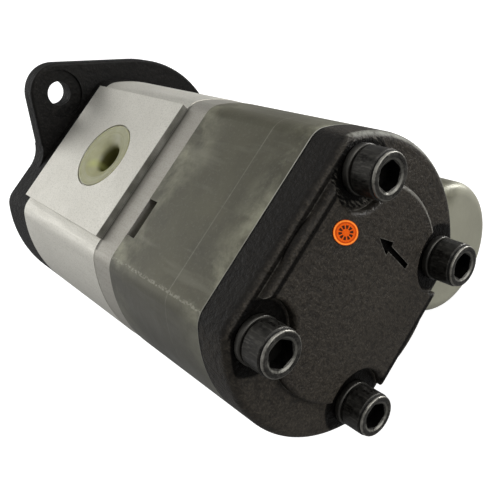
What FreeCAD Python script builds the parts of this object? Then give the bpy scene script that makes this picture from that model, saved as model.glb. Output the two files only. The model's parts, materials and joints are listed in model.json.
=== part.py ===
"""Tandem hydraulic gear pump with a two-bolt flange, as separate pieces in millimetres.

Frame: the origin is the centre of the mounting pilot on the flange's mounting face.
+X points out along the drive shaft, +Y from the drive gear to the driven gear, +Z to the outlet pad.
"""

import FreeCAD, Part

import math
import os

import Sketcher

DIMENSIONS = {
    # gears and journals
    "axis_gap": 37.0,
    "teeth": 12,
    "gear_tip": 21.0,
    "gear_root": 15.3,
    "pressure_angle": 25.0,
    "backlash": 0.2,
    "pocket_play": 0.3,
    "side_play": 0.15,
    "journal": 10.0,
    "journal_play": 0.05,
    "bush_wall": 1.5,
    # outline that all the stacked casings share
    "body_radius": 54.0,
    "flat_half": 41.4,
    "corner_radius": 9.0,
    # lengths of the stack, front to rear
    "pilot_length": 6.3,
    "flange_thick": 19.5,
    "ear_thick": 9.5,
    "front_length": 82.7,
    "middle_length": 38.5,
    "rear_length": 18.6,
    "cover_thick": 14.1,
    # mounting flange
    "pilot_radius": 41.275,
    "plate_radius": 48.8,
    "ear_radius": 13.7,
    "ear_pitch": 106.4,
    "ear_hole": 5.55,
    "ear_spot": 10.8,
    "ear_spot_depth": 1.2,
    "web_radius": 14.0,
    "seal_bore": 17.5,
    "seal_depth": 14.0,
    "seal_width": 8.0,
    "flange_bore": 11.0,
    # rear cover
    "plateau_height": 3.4,
    "plateau_radius": 39.2,
    "plateau_half": 38.3,
    "plateau_reach": 30.0,
    "plateau_round": 1.6,
    "screw_pocket": 13.5,
    "cover_round": 3.2,
    "cover_bush_depth": 12.5,
    "arrow_depth": 1.4,
    # screws and washers
    "screw_pitch_y": 61.6,
    "screw_pitch_z": 60.0,
    "screw_radius": 5.0,
    "screw_hole": 5.5,
    "screw_length": 170.0,
    "thread_play": 0.05,
    "thread_depth": 15.5,
    "head_radius": 8.0,
    "head_height": 10.0,
    "head_chamfer": 0.8,
    "socket_corner": 4.62,
    "socket_depth": 5.5,
    "socket_mouth": 4.9,
    "socket_sink": 0.5,
    "washer_radius": 8.3,
    "washer_thick": 2.5,
    # dowels and joint seals
    "dowel_radius": 3.0,
    "dowel_length": 12.0,
    "dowel_reach": 29.0,
    "ring_radius": 24.0,
    "ring_section": 1.05,
    "groove_half": 1.4,
    "groove_depth": 2.2,
    # bushing blocks and wear plates
    "block_length": 21.0,
    "block_play": 0.05,
    "block_seal_radius": 16.0,
    "block_seal_width": 2.0,
    "block_seal_depth": 1.6,
    "wear_plate": 2.0,
    "relief_radius": 7.0,
    "relief_offset": 15.0,
    # outlet pad and port of the front stage
    "pad_proud": 2.7,
    "pad_half": 30.4,
    "pad_centre": 17.3,
    "pad_break": 0.15,
    "band_length": 12.8,
    "band_step": 0.15,
    "port_back": 59.1,
    "port_thread": 12.2,
    "port_depth": 16.0,
    "port_mouth": 15.1,
    "port_mouth_depth": 1.0,
    "port_drill": 8.0,
    # port plug
    "plug_rim": 15.0,
    "plug_top": 11.6,
    "plug_end": 10.2,
    "plug_length": 12.0,
    "plug_wall": 1.6,
    "plug_funnel": 9.5,
    "plug_throat": 5.8,
    "plug_throat_depth": 3.2,
    "plug_core": 5.2,
    # inlet boss on the side of the two rear casings
    "boss_y": -25.8,
    "boss_z": -59.0,
    "boss_radius": 28.5,
    "boss_rear": 157.9,
    "boss_round": 5.0,
    "neck_half": 18.0,
    "neck_reach": 46.0,
    "inlet_radius": 15.0,
    "inlet_chamfer": 1.5,
    "gallery_end": 7.0,
    "gallery_ring": 18.5,
    # oil passages
    "suction_channel": 5.5,
    "channel_offset": 17.0,
    "slot_half": 4.0,
    "slot_reach": 68.0,
    # outlet port of the rear stage
    "outlet_back": 119.0,
    "outlet_y": 30.0,
    "outlet_thread": 9.3,
    "outlet_depth": 15.0,
    "outlet_spot": 14.5,
    "outlet_drill": 4.0,
    "outlet_rise": 15.0,
    # pry slot in the front edge of the middle casing
    "pry_width": 5.4,
    "pry_length": 15.7,
    "pry_centre": 33.6,
    "pry_depth": 5.0,
    # drive line
    "shaft_end": 9.525,
    "shaft_reach": 44.4,
    "shaft_shoulder": 8.0,
    "key_width": 4.76,
    "key_length": 22.0,
    "key_depth": 2.4,
    "spline_teeth": 10,
    "spline_tip": 7.6,
    "spline_root": 6.4,
    "spline_play": 0.08,
    "spline_length": 10.0,
    "sleeve_radius": 11.0,
    "sleeve_length": 21.6,
    "chamber_radius": 13.0,
    "middle_bush": 14.0,
    # oval label on the cover
    "label_long": 6.2,
    "label_short": 4.0,
    "label_lean": 74.0,
    "label_thick": 0.25,
    "label_y": 7.0,
    "label_z": 24.1,
}

doc = FreeCAD.newDocument("gear_pump")
sheet = doc.addObject("Spreadsheet::Sheet", "Dims")
for row, (alias, number) in enumerate(DIMENSIONS.items(), start=1):
    sheet.set(f"A{row}", str(number))
    sheet.setAlias(f"A{row}", alias)
doc.recompute()

# planes of the stack, as expressions of the sheet
FLANGE_REAR = "-Dims.flange_thick"
FRONT_REAR = f"{FLANGE_REAR} - Dims.front_length"
MIDDLE_REAR = f"{FRONT_REAR} - Dims.middle_length"
REAR_REAR = f"{MIDDLE_REAR} - Dims.rear_length"
COVER_LAND = f"{REAR_REAR} - Dims.cover_thick"
PLATEAU = f"{COVER_LAND} - Dims.plateau_height"
HEAD_SEAT = f"{COVER_LAND} - Dims.washer_thick"
PAD_REAR = f"{FRONT_REAR} + Dims.band_length"
FRONT_GEAR_REAR = f"{FRONT_REAR} + Dims.block_length + 2 * Dims.side_play"
FRONT_GEAR_LENGTH = "Dims.front_length - 2 * Dims.block_length - 4 * Dims.side_play"
REAR_GEAR_REAR = f"{REAR_REAR} + Dims.wear_plate + 2 * Dims.side_play"
REAR_GEAR_LENGTH = "Dims.rear_length - 2 * Dims.wear_plate - 4 * Dims.side_play"
CENTRE_Y = "Dims.axis_gap / 2"
POCKET = "Dims.gear_tip + Dims.pocket_play"
BUSH_OUTER = "Dims.journal + Dims.bush_wall"
AXES = {"drive": "0", "driven": "Dims.axis_gap"}
SCREW_SIGNS = [(-1, 1), (1, 1), (-1, -1), (1, -1)]

ROTATIONS = {
    "X": FreeCAD.Rotation(FreeCAD.Vector(0, 1, 0), 90),
    "Z": FreeCAD.Rotation(),
    "Y": FreeCAD.Rotation(FreeCAD.Vector(1, 0, 0), -90),
}
parts = {}


def number(name):
    """A driving dimension as the sheet holds it now."""
    return float(sheet.get(name))


def bind(thing, **expressions):
    """Binds properties of an object to expressions of the sheet."""
    for name, expression in expressions.items():
        thing.setExpression(name.replace("__", "."), expression)
    return thing


def place(thing, x="0", y="0", z="0", axis="Z"):
    """Turns an object's own Z to an axis of the frame and binds its position."""
    thing.Placement = FreeCAD.Placement(FreeCAD.Vector(), ROTATIONS[axis])
    return bind(thing, Placement__Base__x=x, Placement__Base__y=y, Placement__Base__z=z)


def cylinder(name, radius, height, x="0", y="0", z="0", axis="X"):
    thing = doc.addObject("Part::Cylinder", name)
    bind(thing, Radius=radius, Height=height)
    return place(thing, x, y, z, axis)


def cone(name, radius, end_radius, height, x="0", y="0", z="0", axis="X"):
    thing = doc.addObject("Part::Cone", name)
    bind(thing, Radius1=radius, Radius2=end_radius, Height=height)
    return place(thing, x, y, z, axis)


def box(name, size, corner):
    """A box along the frame's axes from its lowest corner."""
    thing = doc.addObject("Part::Box", name)
    bind(thing, Length=size[0], Width=size[1], Height=size[2])
    return place(thing, *corner)


def fuse(name, *shapes):
    thing = doc.addObject("Part::MultiFuse", name)
    thing.Shapes = list(shapes)
    return thing


def cut(name, base, *tools):
    thing = doc.addObject("Part::Cut", name)
    thing.Base = base
    thing.Tool = tools[0] if len(tools) == 1 else fuse(f"{name}_tools", *tools)
    return thing


def common(name, first, second):
    thing = doc.addObject("Part::Common", name)
    thing.Base = first
    thing.Tool = second
    return thing


def group(name, solids):
    thing = doc.addObject("Part::Compound", name)
    thing.Links = solids
    return thing


def dress(kind, name, base, size, chosen):
    """A Part::Fillet or Part::Chamfer of one size on the edges that chosen() accepts."""
    doc.recompute()
    thing = doc.addObject(kind, name)
    thing.Base = base
    picked = [i for i, edge in enumerate(base.Shape.Edges, start=1) if chosen(edge)]
    thing.Edges = [(i, size, size) for i in picked]
    return thing


def flat_at(x, tolerance=0.01):
    """Accepts the edges that lie in a plane across the shaft axis."""

    def test(edge):
        limits = edge.BoundBox
        return abs(limits.XMin - x) < tolerance and abs(limits.XMax - x) < tolerance

    return test


def along_shaft(edge):
    """Accepts the straight edges that run parallel to the shaft axis."""
    return edge.BoundBox.YLength < 0.01 and edge.BoundBox.ZLength < 0.01


def keep(thing, label):
    """Registers a finished sub-part under its node name."""
    thing.Label = label
    parts[label] = thing
    return thing


def section(name, rear, length, radius="Dims.body_radius", half="Dims.flat_half"):
    """A length of the casings' common outline: a circle with two flats and rounded corners."""
    round_bar = cylinder(f"{name}_round", radius, length, rear, CENTRE_Y)
    size = (length, f"2 * ({radius})", f"2 * ({half})")
    slab = box(f"{name}_slab", size, (rear, f"{CENTRE_Y} - ({radius})", f"-({half})"))
    block = common(f"{name}_block", round_bar, slab)
    return dress("Part::Fillet", f"{name}_section", block, number("corner_radius"), along_shaft)


def twin_bore(name, radius, rear, length):
    """Two parallel cylinders on the drive and driven axes, fused to a figure of eight."""
    bars = [cylinder(f"{name}_{key}", radius, length, rear, y) for key, y in AXES.items()]
    return fuse(name, *bars)


def racetrack(name, radius, rear, length):
    """A long rounded slab round both gear axes."""
    size = (length, "Dims.axis_gap", f"2 * ({radius})")
    bridge = box(f"{name}_bridge", size, (rear, "0", f"-({radius})"))
    return fuse(name, twin_bore(f"{name}_ends", radius, rear, length), bridge)


def ring_groove(name, rear):
    """The groove of a joint seal, open towards the joint plane."""
    outer = racetrack(f"{name}_outer", "Dims.ring_radius + Dims.groove_half", rear, "Dims.groove_depth")
    inner = racetrack(f"{name}_inner", "Dims.ring_radius - Dims.groove_half", rear, "Dims.groove_depth")
    return cut(name, outer, inner)


def screw_bars(name, radius, rear, length):
    """Four bars on the pattern of the clamping screws."""
    bars = []
    for i, (side_y, side_z) in enumerate(SCREW_SIGNS):
        y, z = screw_place(side_y, side_z)
        bars.append(cylinder(f"{name}_{i}", radius, length, rear, y, z))
    return bars


def screw_place(side_y, side_z):
    y = f"{CENTRE_Y} + {side_y} * Dims.screw_pitch_y / 2"
    z = f"{side_z} * Dims.screw_pitch_z / 2"
    return y, z


def dowel_bars(name, radius, rear, length):
    """Two bars at the ends of the gear line, where the dowels sit."""
    ends = {"low": "-Dims.dowel_reach", "high": "Dims.axis_gap + Dims.dowel_reach"}
    return [cylinder(f"{name}_{key}", radius, length, rear, y) for key, y in ends.items()]


def dowel_holes(name, joint):
    """Half of a joint's dowel holes lies each side of the joint plane."""
    return dowel_bars(name, "Dims.dowel_radius + 0.02", f"{joint} - Dims.dowel_length / 2 - 0.2",
                      "Dims.dowel_length + 0.4")


def origin_plane(body, role):
    return next(plane for plane in body.Origin.OriginFeatures if plane.Role == role)


def new_sketch(body, name, role):
    sketch = body.newObject("Sketcher::SketchObject", name)
    sketch.AttachmentSupport = [(origin_plane(body, role), "")]
    sketch.MapMode = "FlatFace"
    return sketch


def outline(sketch, corners):
    """A closed polygon whose corners are bound to pairs of expressions of the sheet."""
    values = [[evaluate(sketch, text) for text in corner] for corner in corners]
    count = len(corners)
    for i, (here, there) in enumerate(zip(values, values[1:] + values[:1])):
        start = FreeCAD.Vector(here[0], here[1], 0)
        end = FreeCAD.Vector(there[0], there[1], 0)
        sketch.addGeometry(Part.LineSegment(start, end), False)
    for i in range(count):
        sketch.addConstraint(Sketcher.Constraint("Coincident", i, 2, (i + 1) % count, 1))
    for i, (corner, value) in enumerate(zip(corners, values)):
        for direction, text, size in zip(("DistanceX", "DistanceY"), corner, value):
            index = sketch.addConstraint(Sketcher.Constraint(direction, -1, 1, i, 1, size))
            sketch.setExpression(f"Constraints[{index}]", text)


def evaluate(thing, expression):
    """The value in millimetres of an expression of the sheet."""
    value = thing.evalExpression(expression)
    return float(value.Value) if hasattr(value, "Value") else float(value)


def circles(sketch, *radii):
    """Circles round the sketch's origin, each bound to an expression of the sheet."""
    for text in radii:
        centre = FreeCAD.Vector(0, 0, 0)
        size = evaluate(sketch, text)
        index = sketch.addGeometry(Part.Circle(centre, FreeCAD.Vector(0, 0, 1), size), False)
        sketch.addConstraint(Sketcher.Constraint("Coincident", index, 3, -1, 1))
        bound = sketch.addConstraint(Sketcher.Constraint("Radius", index, size))
        sketch.setExpression(f"Constraints[{bound}]", text)


def turned(name, corners, x="0", y="0", z="0", axis="X"):
    """A body revolved about its own Z from (radius, height) corners."""
    body = doc.addObject("PartDesign::Body", name)
    sketch = new_sketch(body, f"{name}_profile", "XZ_Plane")
    outline(sketch, corners)
    turn = body.newObject("PartDesign::Revolution", f"{name}_turn")
    turn.Profile = sketch
    turn.ReferenceAxis = (sketch, ["V_Axis"])
    turn.Angle = 360.0
    return place(body, x, y, z, axis)


def tube(name, outer, inner, length, x="0", y="0", z="0", axis="X"):
    """A padded ring such as a bush or a washer."""
    body = doc.addObject("PartDesign::Body", name)
    sketch = new_sketch(body, f"{name}_ring", "XY_Plane")
    circles(sketch, outer, inner)
    pad = body.newObject("PartDesign::Pad", f"{name}_pad")
    pad.Profile = sketch
    bind(pad, Length=length)
    return place(body, x, y, z, axis)


def on_circle(radius, angle):
    """A point of the plane across the shaft axis."""
    return FreeCAD.Vector(0, radius * math.cos(angle), radius * math.sin(angle))


def arc(radius, start, end):
    middle = on_circle(radius, (start + end) / 2)
    return Part.Arc(on_circle(radius, start), middle, on_circle(radius, end)).toShape()


def involute(angle):
    return math.tan(angle) - angle


def gear_face(name, turned_by):
    """The toothed outline of a pump gear: involute flanks between root and tip circles."""
    teeth = int(number("teeth"))
    pitch = number("axis_gap") / 2
    pressure = math.radians(number("pressure_angle"))
    base = pitch * math.cos(pressure)
    tip = number("gear_tip")
    root = number("gear_root")
    at_base = math.pi / 2 / teeth - number("backlash") / 2 / pitch + involute(pressure)
    radii = [base + (tip - base) * share for share in (0, 0.12, 0.3, 0.6, 1)]
    flank = [(radius, at_base - involute(math.acos(base / radius))) for radius in radii]
    tip_half = flank[-1][1]
    step = 2 * math.pi / teeth
    edges = []
    for tooth in range(teeth):
        middle = turned_by + tooth * step
        for side in (-1, 1):
            points = [on_circle(radius, middle + side * half) for radius, half in flank]
            curve = Part.BSplineCurve()
            curve.interpolate(points)
            edges.append(curve.toShape())
            foot = on_circle(root, middle + side * at_base)
            edges.append(Part.makeLine(foot, points[0]))
        edges.append(arc(tip, middle - tip_half, middle + tip_half))
        edges.append(arc(root, middle + at_base, middle + step - at_base))
    return planar(name, edges)


def spline_face(name, tip, root):
    """A straight-sided spline whose teeth and gaps share the pitch evenly."""
    teeth = int(number("spline_teeth"))
    step = 2 * math.pi / teeth
    edges = []
    for tooth in range(teeth):
        start = tooth * step
        edges.append(arc(tip, start - step * 0.2, start + step * 0.2))
        edges.append(arc(root, start + step * 0.3, start + step * 0.7))
        edges.append(Part.makeLine(on_circle(tip, start + step * 0.2), on_circle(root, start + step * 0.3)))
        edges.append(Part.makeLine(on_circle(root, start + step * 0.7), on_circle(tip, start + step * 0.8)))
    return planar(name, edges)


def planar(name, edges):
    """A flat face from loose edges, as an object of the document."""
    wire = Part.Wire(Part.__sortEdges__(edges))
    thing = doc.addObject("Part::Feature", name)
    thing.Shape = Part.Face(wire)
    return thing


def extrude(name, face, length, x, y="0"):
    thing = doc.addObject("Part::Extrusion", name)
    thing.Base = face
    thing.DirMode = "Custom"
    thing.Dir = FreeCAD.Vector(1, 0, 0)
    thing.Solid = True
    bind(thing, LengthFwd=length)
    return place(thing, x, y)


def mounting_flange():
    """Cast front cover: a two-eared plate and pilot in front of the casings' outline."""
    core = section("flange_core", FLANGE_REAR, "Dims.flange_thick - 0.1")
    plate = ear_plate()
    pilot = cylinder("flange_pilot_bar", "Dims.pilot_radius", "Dims.pilot_length + 1", "-1")
    pilot_edge = number("pilot_length")
    pilot_round = dress("Part::Chamfer", "flange_pilot", pilot, 1.0, flat_at(pilot_edge))
    casting = fuse("flange_casting", core, plate, pilot_round, flange_web(-1), flange_web(1))
    tools = screw_bars("flange_thread", "Dims.screw_radius + Dims.thread_play", FLANGE_REAR, "Dims.thread_depth")
    tools += dowel_holes("flange_dowel", FLANGE_REAR)
    tools.append(cylinder("flange_shaft_bore", "Dims.flange_bore", "Dims.flange_thick + 20", FLANGE_REAR))
    seal_start = "Dims.pilot_length - Dims.seal_depth"
    tools.append(cylinder("flange_seal_bore", "Dims.seal_bore", "Dims.seal_depth + 1", seal_start))
    tools.append(cylinder("flange_ring_groove", "Dims.seal_bore + 1.1", "1.7", "Dims.pilot_length - 3.8"))
    for key, side in (("low", -1), ("high", 1)):
        z = f"{side} * Dims.ear_pitch / 2"
        tools.append(cylinder(f"flange_hole_{key}", "Dims.ear_hole", "30", "-20", "0", z))
        spot_rear = "-Dims.ear_thick - 12"
        spot_length = "12 + Dims.ear_spot_depth"
        tools.append(cylinder(f"flange_spot_{key}", "Dims.ear_spot", spot_length, spot_rear, "0", z))
    tools.append(cylinder("flange_relief", BUSH_OUTER, "3.1", f"{FLANGE_REAR} - 0.1", "Dims.axis_gap"))
    body = cut("flange_bored", casting, *tools)
    keep(body, "mounting_flange")


def ear_plate():
    """The eared outline: the plate circle joined to both ear circles by tangent lines."""
    body = doc.addObject("PartDesign::Body", "ear_plate")
    sketch = new_sketch(body, "ear_plate_outline", "YZ_Plane")
    radius = number("plate_radius")
    ear = number("ear_radius")
    reach = number("ear_pitch") / 2
    lean = math.asin((radius - ear) / reach)
    edges = []
    for side in (1, -1):
        top = math.pi / 2 * side
        turn = (math.pi / 2 - lean)
        ear_centre = FreeCAD.Vector(0, side * reach, 0)
        edges.append(sketch_arc(ear_centre, ear, top - turn, top + turn))
    for side in (1, -1):
        middle = 0 if side > 0 else math.pi
        edges.append(sketch_arc(FreeCAD.Vector(), radius, middle - lean, middle + lean))
    sketch.addGeometry(edges, False)
    top_ear, low_ear, right, left = range(4)
    joins = [(right, 2, top_ear, 1), (top_ear, 2, left, 1), (left, 2, low_ear, 1), (low_ear, 2, right, 1)]
    for from_arc, from_end, to_arc, to_end in joins:
        start = sketch.getPoint(from_arc, from_end)
        end = sketch.getPoint(to_arc, to_end)
        line = sketch.addGeometry(Part.LineSegment(start, end), False)
        sketch.addConstraint(Sketcher.Constraint("Tangent", from_arc, from_end, line, 1))
        sketch.addConstraint(Sketcher.Constraint("Tangent", line, 2, to_arc, to_end))
    for centred in (right, left):
        sketch.addConstraint(Sketcher.Constraint("Coincident", centred, 3, -1, 1))
        index = sketch.addConstraint(Sketcher.Constraint("Radius", centred, radius))
        sketch.setExpression(f"Constraints[{index}]", "Dims.plate_radius")
    for ear_arc, side in ((top_ear, 1), (low_ear, -1)):
        sketch.addConstraint(Sketcher.Constraint("PointOnObject", ear_arc, 3, -2))
        index = sketch.addConstraint(Sketcher.Constraint("Radius", ear_arc, ear))
        sketch.setExpression(f"Constraints[{index}]", "Dims.ear_radius")
        index = sketch.addConstraint(Sketcher.Constraint("DistanceY", -1, 1, ear_arc, 3, side * reach))
        sketch.setExpression(f"Constraints[{index}]", f"{side} * Dims.ear_pitch / 2")
    pad = body.newObject("PartDesign::Pad", "ear_plate_pad")
    pad.Profile = sketch
    pad.Reversed = True
    bind(pad, Length="Dims.ear_thick")
    doc.recompute()
    rims = [f"Edge{i}" for i, edge in enumerate(pad.Shape.Edges, start=1) if not along_shaft(edge)]
    rounded = body.newObject("PartDesign::Fillet", "ear_plate_round")
    rounded.Base = (pad, rims)
    rounded.Radius = 1.2
    return body


def flange_web(side):
    """The concave corner where an ear's edge runs into the flat of the casings' outline."""
    key = "high" if side > 0 else "low"
    lean = math.asin((number("plate_radius") - number("ear_radius")) / (number("ear_pitch") / 2))
    flat = number("flat_half")
    corner_y = (number("plate_radius") - flat * math.sin(lean)) / math.cos(lean)
    half_gap = (math.pi / 2 + lean) / 2
    reach = number("web_radius") / math.tan(half_gap)
    on_flat = FreeCAD.Vector(0, corner_y + reach, side * flat)
    on_ear = FreeCAD.Vector(0, corner_y - reach * math.sin(lean), side * (flat + reach * math.cos(lean)))
    centre = FreeCAD.Vector(0, corner_y + reach, side * (flat + number("web_radius")))
    sunk = FreeCAD.Vector(0, corner_y - 4, side * (flat - 4))
    under_flat = FreeCAD.Vector(0, corner_y + reach, side * (flat - 4))
    corners = [under_flat, on_flat, centre, on_ear, sunk]
    rim = [Part.makeLine(here, there) for here, there in zip(corners, corners[1:] + corners[:1])]
    outline_face = planar(f"web_{key}_outline", rim)
    blank = extrude(f"web_{key}_blank", outline_face, "Dims.ear_thick - 0.1", "-Dims.ear_thick")
    hollow = cylinder(f"web_{key}_hollow", "Dims.web_radius", "Dims.ear_thick + 2", "-Dims.ear_thick - 1",
                      str(centre.y), str(centre.z))
    return cut(f"web_{key}", blank, hollow)


def sketch_arc(centre, radius, start, end):
    return Part.ArcOfCircle(Part.Circle(centre, FreeCAD.Vector(0, 0, 1), radius), start, end)


def shaft_seal():
    """Lip seal: a rubber ring with a spring-loaded lip close round the shaft."""
    outer = "Dims.seal_bore - 0.02"
    lip = "Dims.journal + Dims.journal_play"
    width = "Dims.seal_width"
    corners = [
        (lip, f"{width} * 0.35"),
        (f"{lip} + 1.2", "0.6"),
        (f"{lip} + 3.6", "0.6"),
        (f"{lip} + 3.6", f"{width} - 2.2"),
        (f"{outer} - 1.6", f"{width} - 2.2"),
        (f"{outer} - 1.6", "0"),
        (outer, "0.5"),
        (outer, width),
        (f"{lip} + 1.4", width),
        (f"{lip} + 1.4", f"{width} * 0.6"),
        (lip, f"{width} * 0.45"),
    ]
    start = "Dims.pilot_length - Dims.seal_depth + 0.1"
    keep(turned("shaft_seal_body", corners, start), "shaft_seal")


def seal_retaining_ring():
    """Internal circlip with a gap and two lugs, in the groove in front of the shaft seal."""
    ring_rear = "Dims.pilot_length - 3.7"
    ring = tube("circlip_ring", "Dims.seal_bore + 1", "Dims.seal_bore - 1.8", "1.5", ring_rear)
    lugs = []
    for key, side in (("low", -1), ("high", 1)):
        y = f"{side} * 3.6"
        lugs.append(cylinder(f"circlip_lug_{key}", "2.2", "1.5", ring_rear, y, "Dims.seal_bore - 2.4"))
    gap = box("circlip_gap", ("3", "2.6", "8"), ("Dims.pilot_length - 4.5", "-1.3", "Dims.seal_bore - 6"))
    holes = [cylinder(f"circlip_eye_{side}", "0.9", "3", "Dims.pilot_length - 4.5", f"{side} * 3.6",
                      "Dims.seal_bore - 2.6") for side in (-1, 1)]
    keep(cut("circlip", fuse("circlip_blank", ring, *lugs), gap, *holes), "seal_retaining_ring")


def front_housing():
    """Aluminium casing of the front stage with the raised outlet pad."""
    main = section("front_main", PAD_REAR, "Dims.front_length - Dims.band_length")
    band = section("front_band", FRONT_REAR, "Dims.band_length + 0.5",
                   "Dims.body_radius - Dims.band_step", "Dims.flat_half - Dims.band_step")
    pad_length = "Dims.front_length - Dims.band_length"
    pad_size = (pad_length, "2 * Dims.pad_half", "Dims.flat_half + Dims.pad_proud")
    pad = box("front_pad_box", pad_size, (PAD_REAR, "Dims.pad_centre - Dims.pad_half", "0"))
    pad_top = number("flat_half") + number("pad_proud")
    pad_rear = -number("flange_thick") - number("front_length") + number("band_length")

    def pad_rim(edge):
        limits = edge.BoundBox
        return limits.ZMin > pad_top - 0.01 and limits.XMin < pad_rear + 1 and limits.XMax < -20

    pad_eased = dress("Part::Chamfer", "front_pad", pad, number("pad_break"), pad_rim)
    casting = fuse("front_casting", main, band, pad_eased)
    tools = [twin_bore("front_pocket", POCKET, FRONT_REAR, "Dims.front_length")]
    tools += screw_bars("front_screw", "Dims.screw_hole", FRONT_REAR, "Dims.front_length")
    tools += dowel_holes("front_dowel_a", FLANGE_REAR)
    tools += dowel_holes("front_dowel_b", FRONT_REAR)
    tools.append(ring_groove("front_groove_a", f"{FLANGE_REAR} - Dims.groove_depth"))
    tools.append(ring_groove("front_groove_b", FRONT_REAR))
    port_x = "-Dims.port_back"
    port_y = "Dims.pad_centre"
    top = "Dims.flat_half + Dims.pad_proud"
    tools.append(cylinder("front_port_drill", "Dims.port_drill", "Dims.flat_half", port_x, port_y, "4", "Z"))
    tools.append(cylinder("front_port_thread", "Dims.port_thread", "Dims.port_depth", port_x, port_y,
                          f"{top} - Dims.port_depth", "Z"))
    tools.append(cylinder("front_port_mouth", "Dims.port_mouth", "Dims.port_mouth_depth", port_x, port_y,
                          f"{top} - Dims.port_mouth_depth", "Z"))
    channel_length = "Dims.front_length - Dims.block_length"
    tools.append(cylinder("front_suction", "Dims.suction_channel", channel_length, FRONT_REAR, CENTRE_Y,
                          "-Dims.channel_offset"))
    keep(cut("front_bored", casting, *tools), "front_housing")


def beam(name, half, reach, lean, rear, length):
    """A bar across the shaft axis that starts at the boss and leans up by an angle in degrees."""
    turn = math.radians(lean)
    bar = doc.addObject("Part::Box", name)
    bind(bar, Length=length, Width=f"Dims.{reach}", Height=f"2 * Dims.{half}")
    corner_y = number("boss_y") + number(half) * math.sin(turn)
    corner_z = number("boss_z") - number(half) * math.cos(turn)
    spin = FreeCAD.Rotation(FreeCAD.Vector(1, 0, 0), lean)
    bar.Placement = FreeCAD.Placement(FreeCAD.Vector(0, corner_y, corner_z), spin)
    return bind(bar, Placement__Base__x=rear)


def lean_from_boss(y, z):
    """The angle in degrees of the line from the boss to a point across the shaft axis."""
    return math.degrees(math.atan2(z - number("boss_z"), y - number("boss_y")))


def boss_lobe(name, rear, length):
    """The inlet boss and the neck that joins it to the casing's outline."""
    round_bar = cylinder(f"{name}_bar", "Dims.boss_radius", length, rear, "Dims.boss_y", "Dims.boss_z")
    lean = lean_from_boss(number("axis_gap") / 2, 0)
    neck = beam(f"{name}_neck", "neck_half", "neck_reach", lean, rear, length)
    return fuse(f"{name}_lobe", round_bar, neck)


def oil_slot(name, rear, length):
    """The oblique suction slot from the inlet gallery to the channel beside the gears."""
    lean = lean_from_boss(number("axis_gap") / 2, -number("channel_offset"))
    return beam(name, "slot_half", "slot_reach", lean, rear, length)


def intermediate_housing():
    """Grey casing between the stages: bearing bores, coupling chamber, inlet boss, rear-stage outlet."""
    main = section("middle_main", MIDDLE_REAR, "Dims.middle_length")
    lobe = boss_lobe("middle_boss", MIDDLE_REAR, "Dims.middle_length")
    casting = fuse("middle_casting", main, lobe)
    tools = [twin_bore("middle_bush_bore", BUSH_OUTER, MIDDLE_REAR, "Dims.middle_bush")]
    tools.append(cylinder("middle_chamber", "Dims.chamber_radius", "Dims.middle_length - Dims.middle_bush",
                          f"{MIDDLE_REAR} + Dims.middle_bush"))
    tools += screw_bars("middle_screw", "Dims.screw_hole", MIDDLE_REAR, "Dims.middle_length")
    tools += dowel_holes("middle_dowel_a", FRONT_REAR)
    tools += dowel_holes("middle_dowel_b", MIDDLE_REAR)
    tools.append(ring_groove("middle_groove", MIDDLE_REAR))
    tools.append(cylinder("middle_gallery", "Dims.inlet_radius", "Dims.middle_length", MIDDLE_REAR,
                          "Dims.boss_y", "Dims.boss_z"))
    mouth = cone("middle_mouth", "Dims.inlet_radius", "Dims.inlet_radius + Dims.inlet_chamfer",
                 "Dims.inlet_chamfer", f"{FRONT_REAR} - Dims.inlet_chamfer", "Dims.boss_y", "Dims.boss_z")
    tools.append(mouth)
    tools.append(gallery_groove())
    tools.append(oil_slot("middle_slot", f"{MIDDLE_REAR} + Dims.middle_bush", "18"))
    tools.append(cylinder("middle_suction", "Dims.suction_channel", "Dims.middle_length - Dims.middle_bush",
                          f"{MIDDLE_REAR} + Dims.middle_bush", CENTRE_Y, "-Dims.channel_offset"))
    outlet_x = "-Dims.outlet_back"
    face = "-Dims.flat_half"
    tools.append(cylinder("middle_outlet_thread", "Dims.outlet_thread", "Dims.outlet_depth", outlet_x,
                          "Dims.outlet_y", face, "Z"))
    tools.append(cylinder("middle_outlet_spot", "Dims.outlet_spot", "0.6", outlet_x, "Dims.outlet_y", face, "Z"))
    tools.append(cylinder("middle_outlet_rise", "Dims.outlet_drill", "Dims.flat_half + Dims.outlet_rise",
                          outlet_x, "Dims.outlet_y", face, "Z"))
    tools.append(cylinder("middle_outlet_run", "Dims.outlet_drill", f"-Dims.outlet_back - ({MIDDLE_REAR}) + 2",
                          MIDDLE_REAR, "Dims.outlet_y - 4", "Dims.outlet_rise"))
    pry_corner = (f"{FRONT_REAR} - Dims.pry_width", "Dims.pry_centre - Dims.pry_length / 2",
                  "Dims.flat_half - Dims.pry_depth")
    tools.append(box("middle_pry", ("Dims.pry_width + 1", "Dims.pry_length", "Dims.pry_depth + 1"), pry_corner))
    keep(cut("middle_bored", casting, *tools), "intermediate_housing")


def gallery_groove():
    """Seal groove round the inlet gallery in the joint between the two rear casings."""
    outer = cylinder("gallery_groove_outer", "Dims.gallery_ring + Dims.groove_half", "Dims.groove_depth",
                     MIDDLE_REAR, "Dims.boss_y", "Dims.boss_z")
    inner = cylinder("gallery_groove_inner", "Dims.gallery_ring - Dims.groove_half", "Dims.groove_depth",
                     MIDDLE_REAR, "Dims.boss_y", "Dims.boss_z")
    return cut("gallery_groove", outer, inner)


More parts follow.
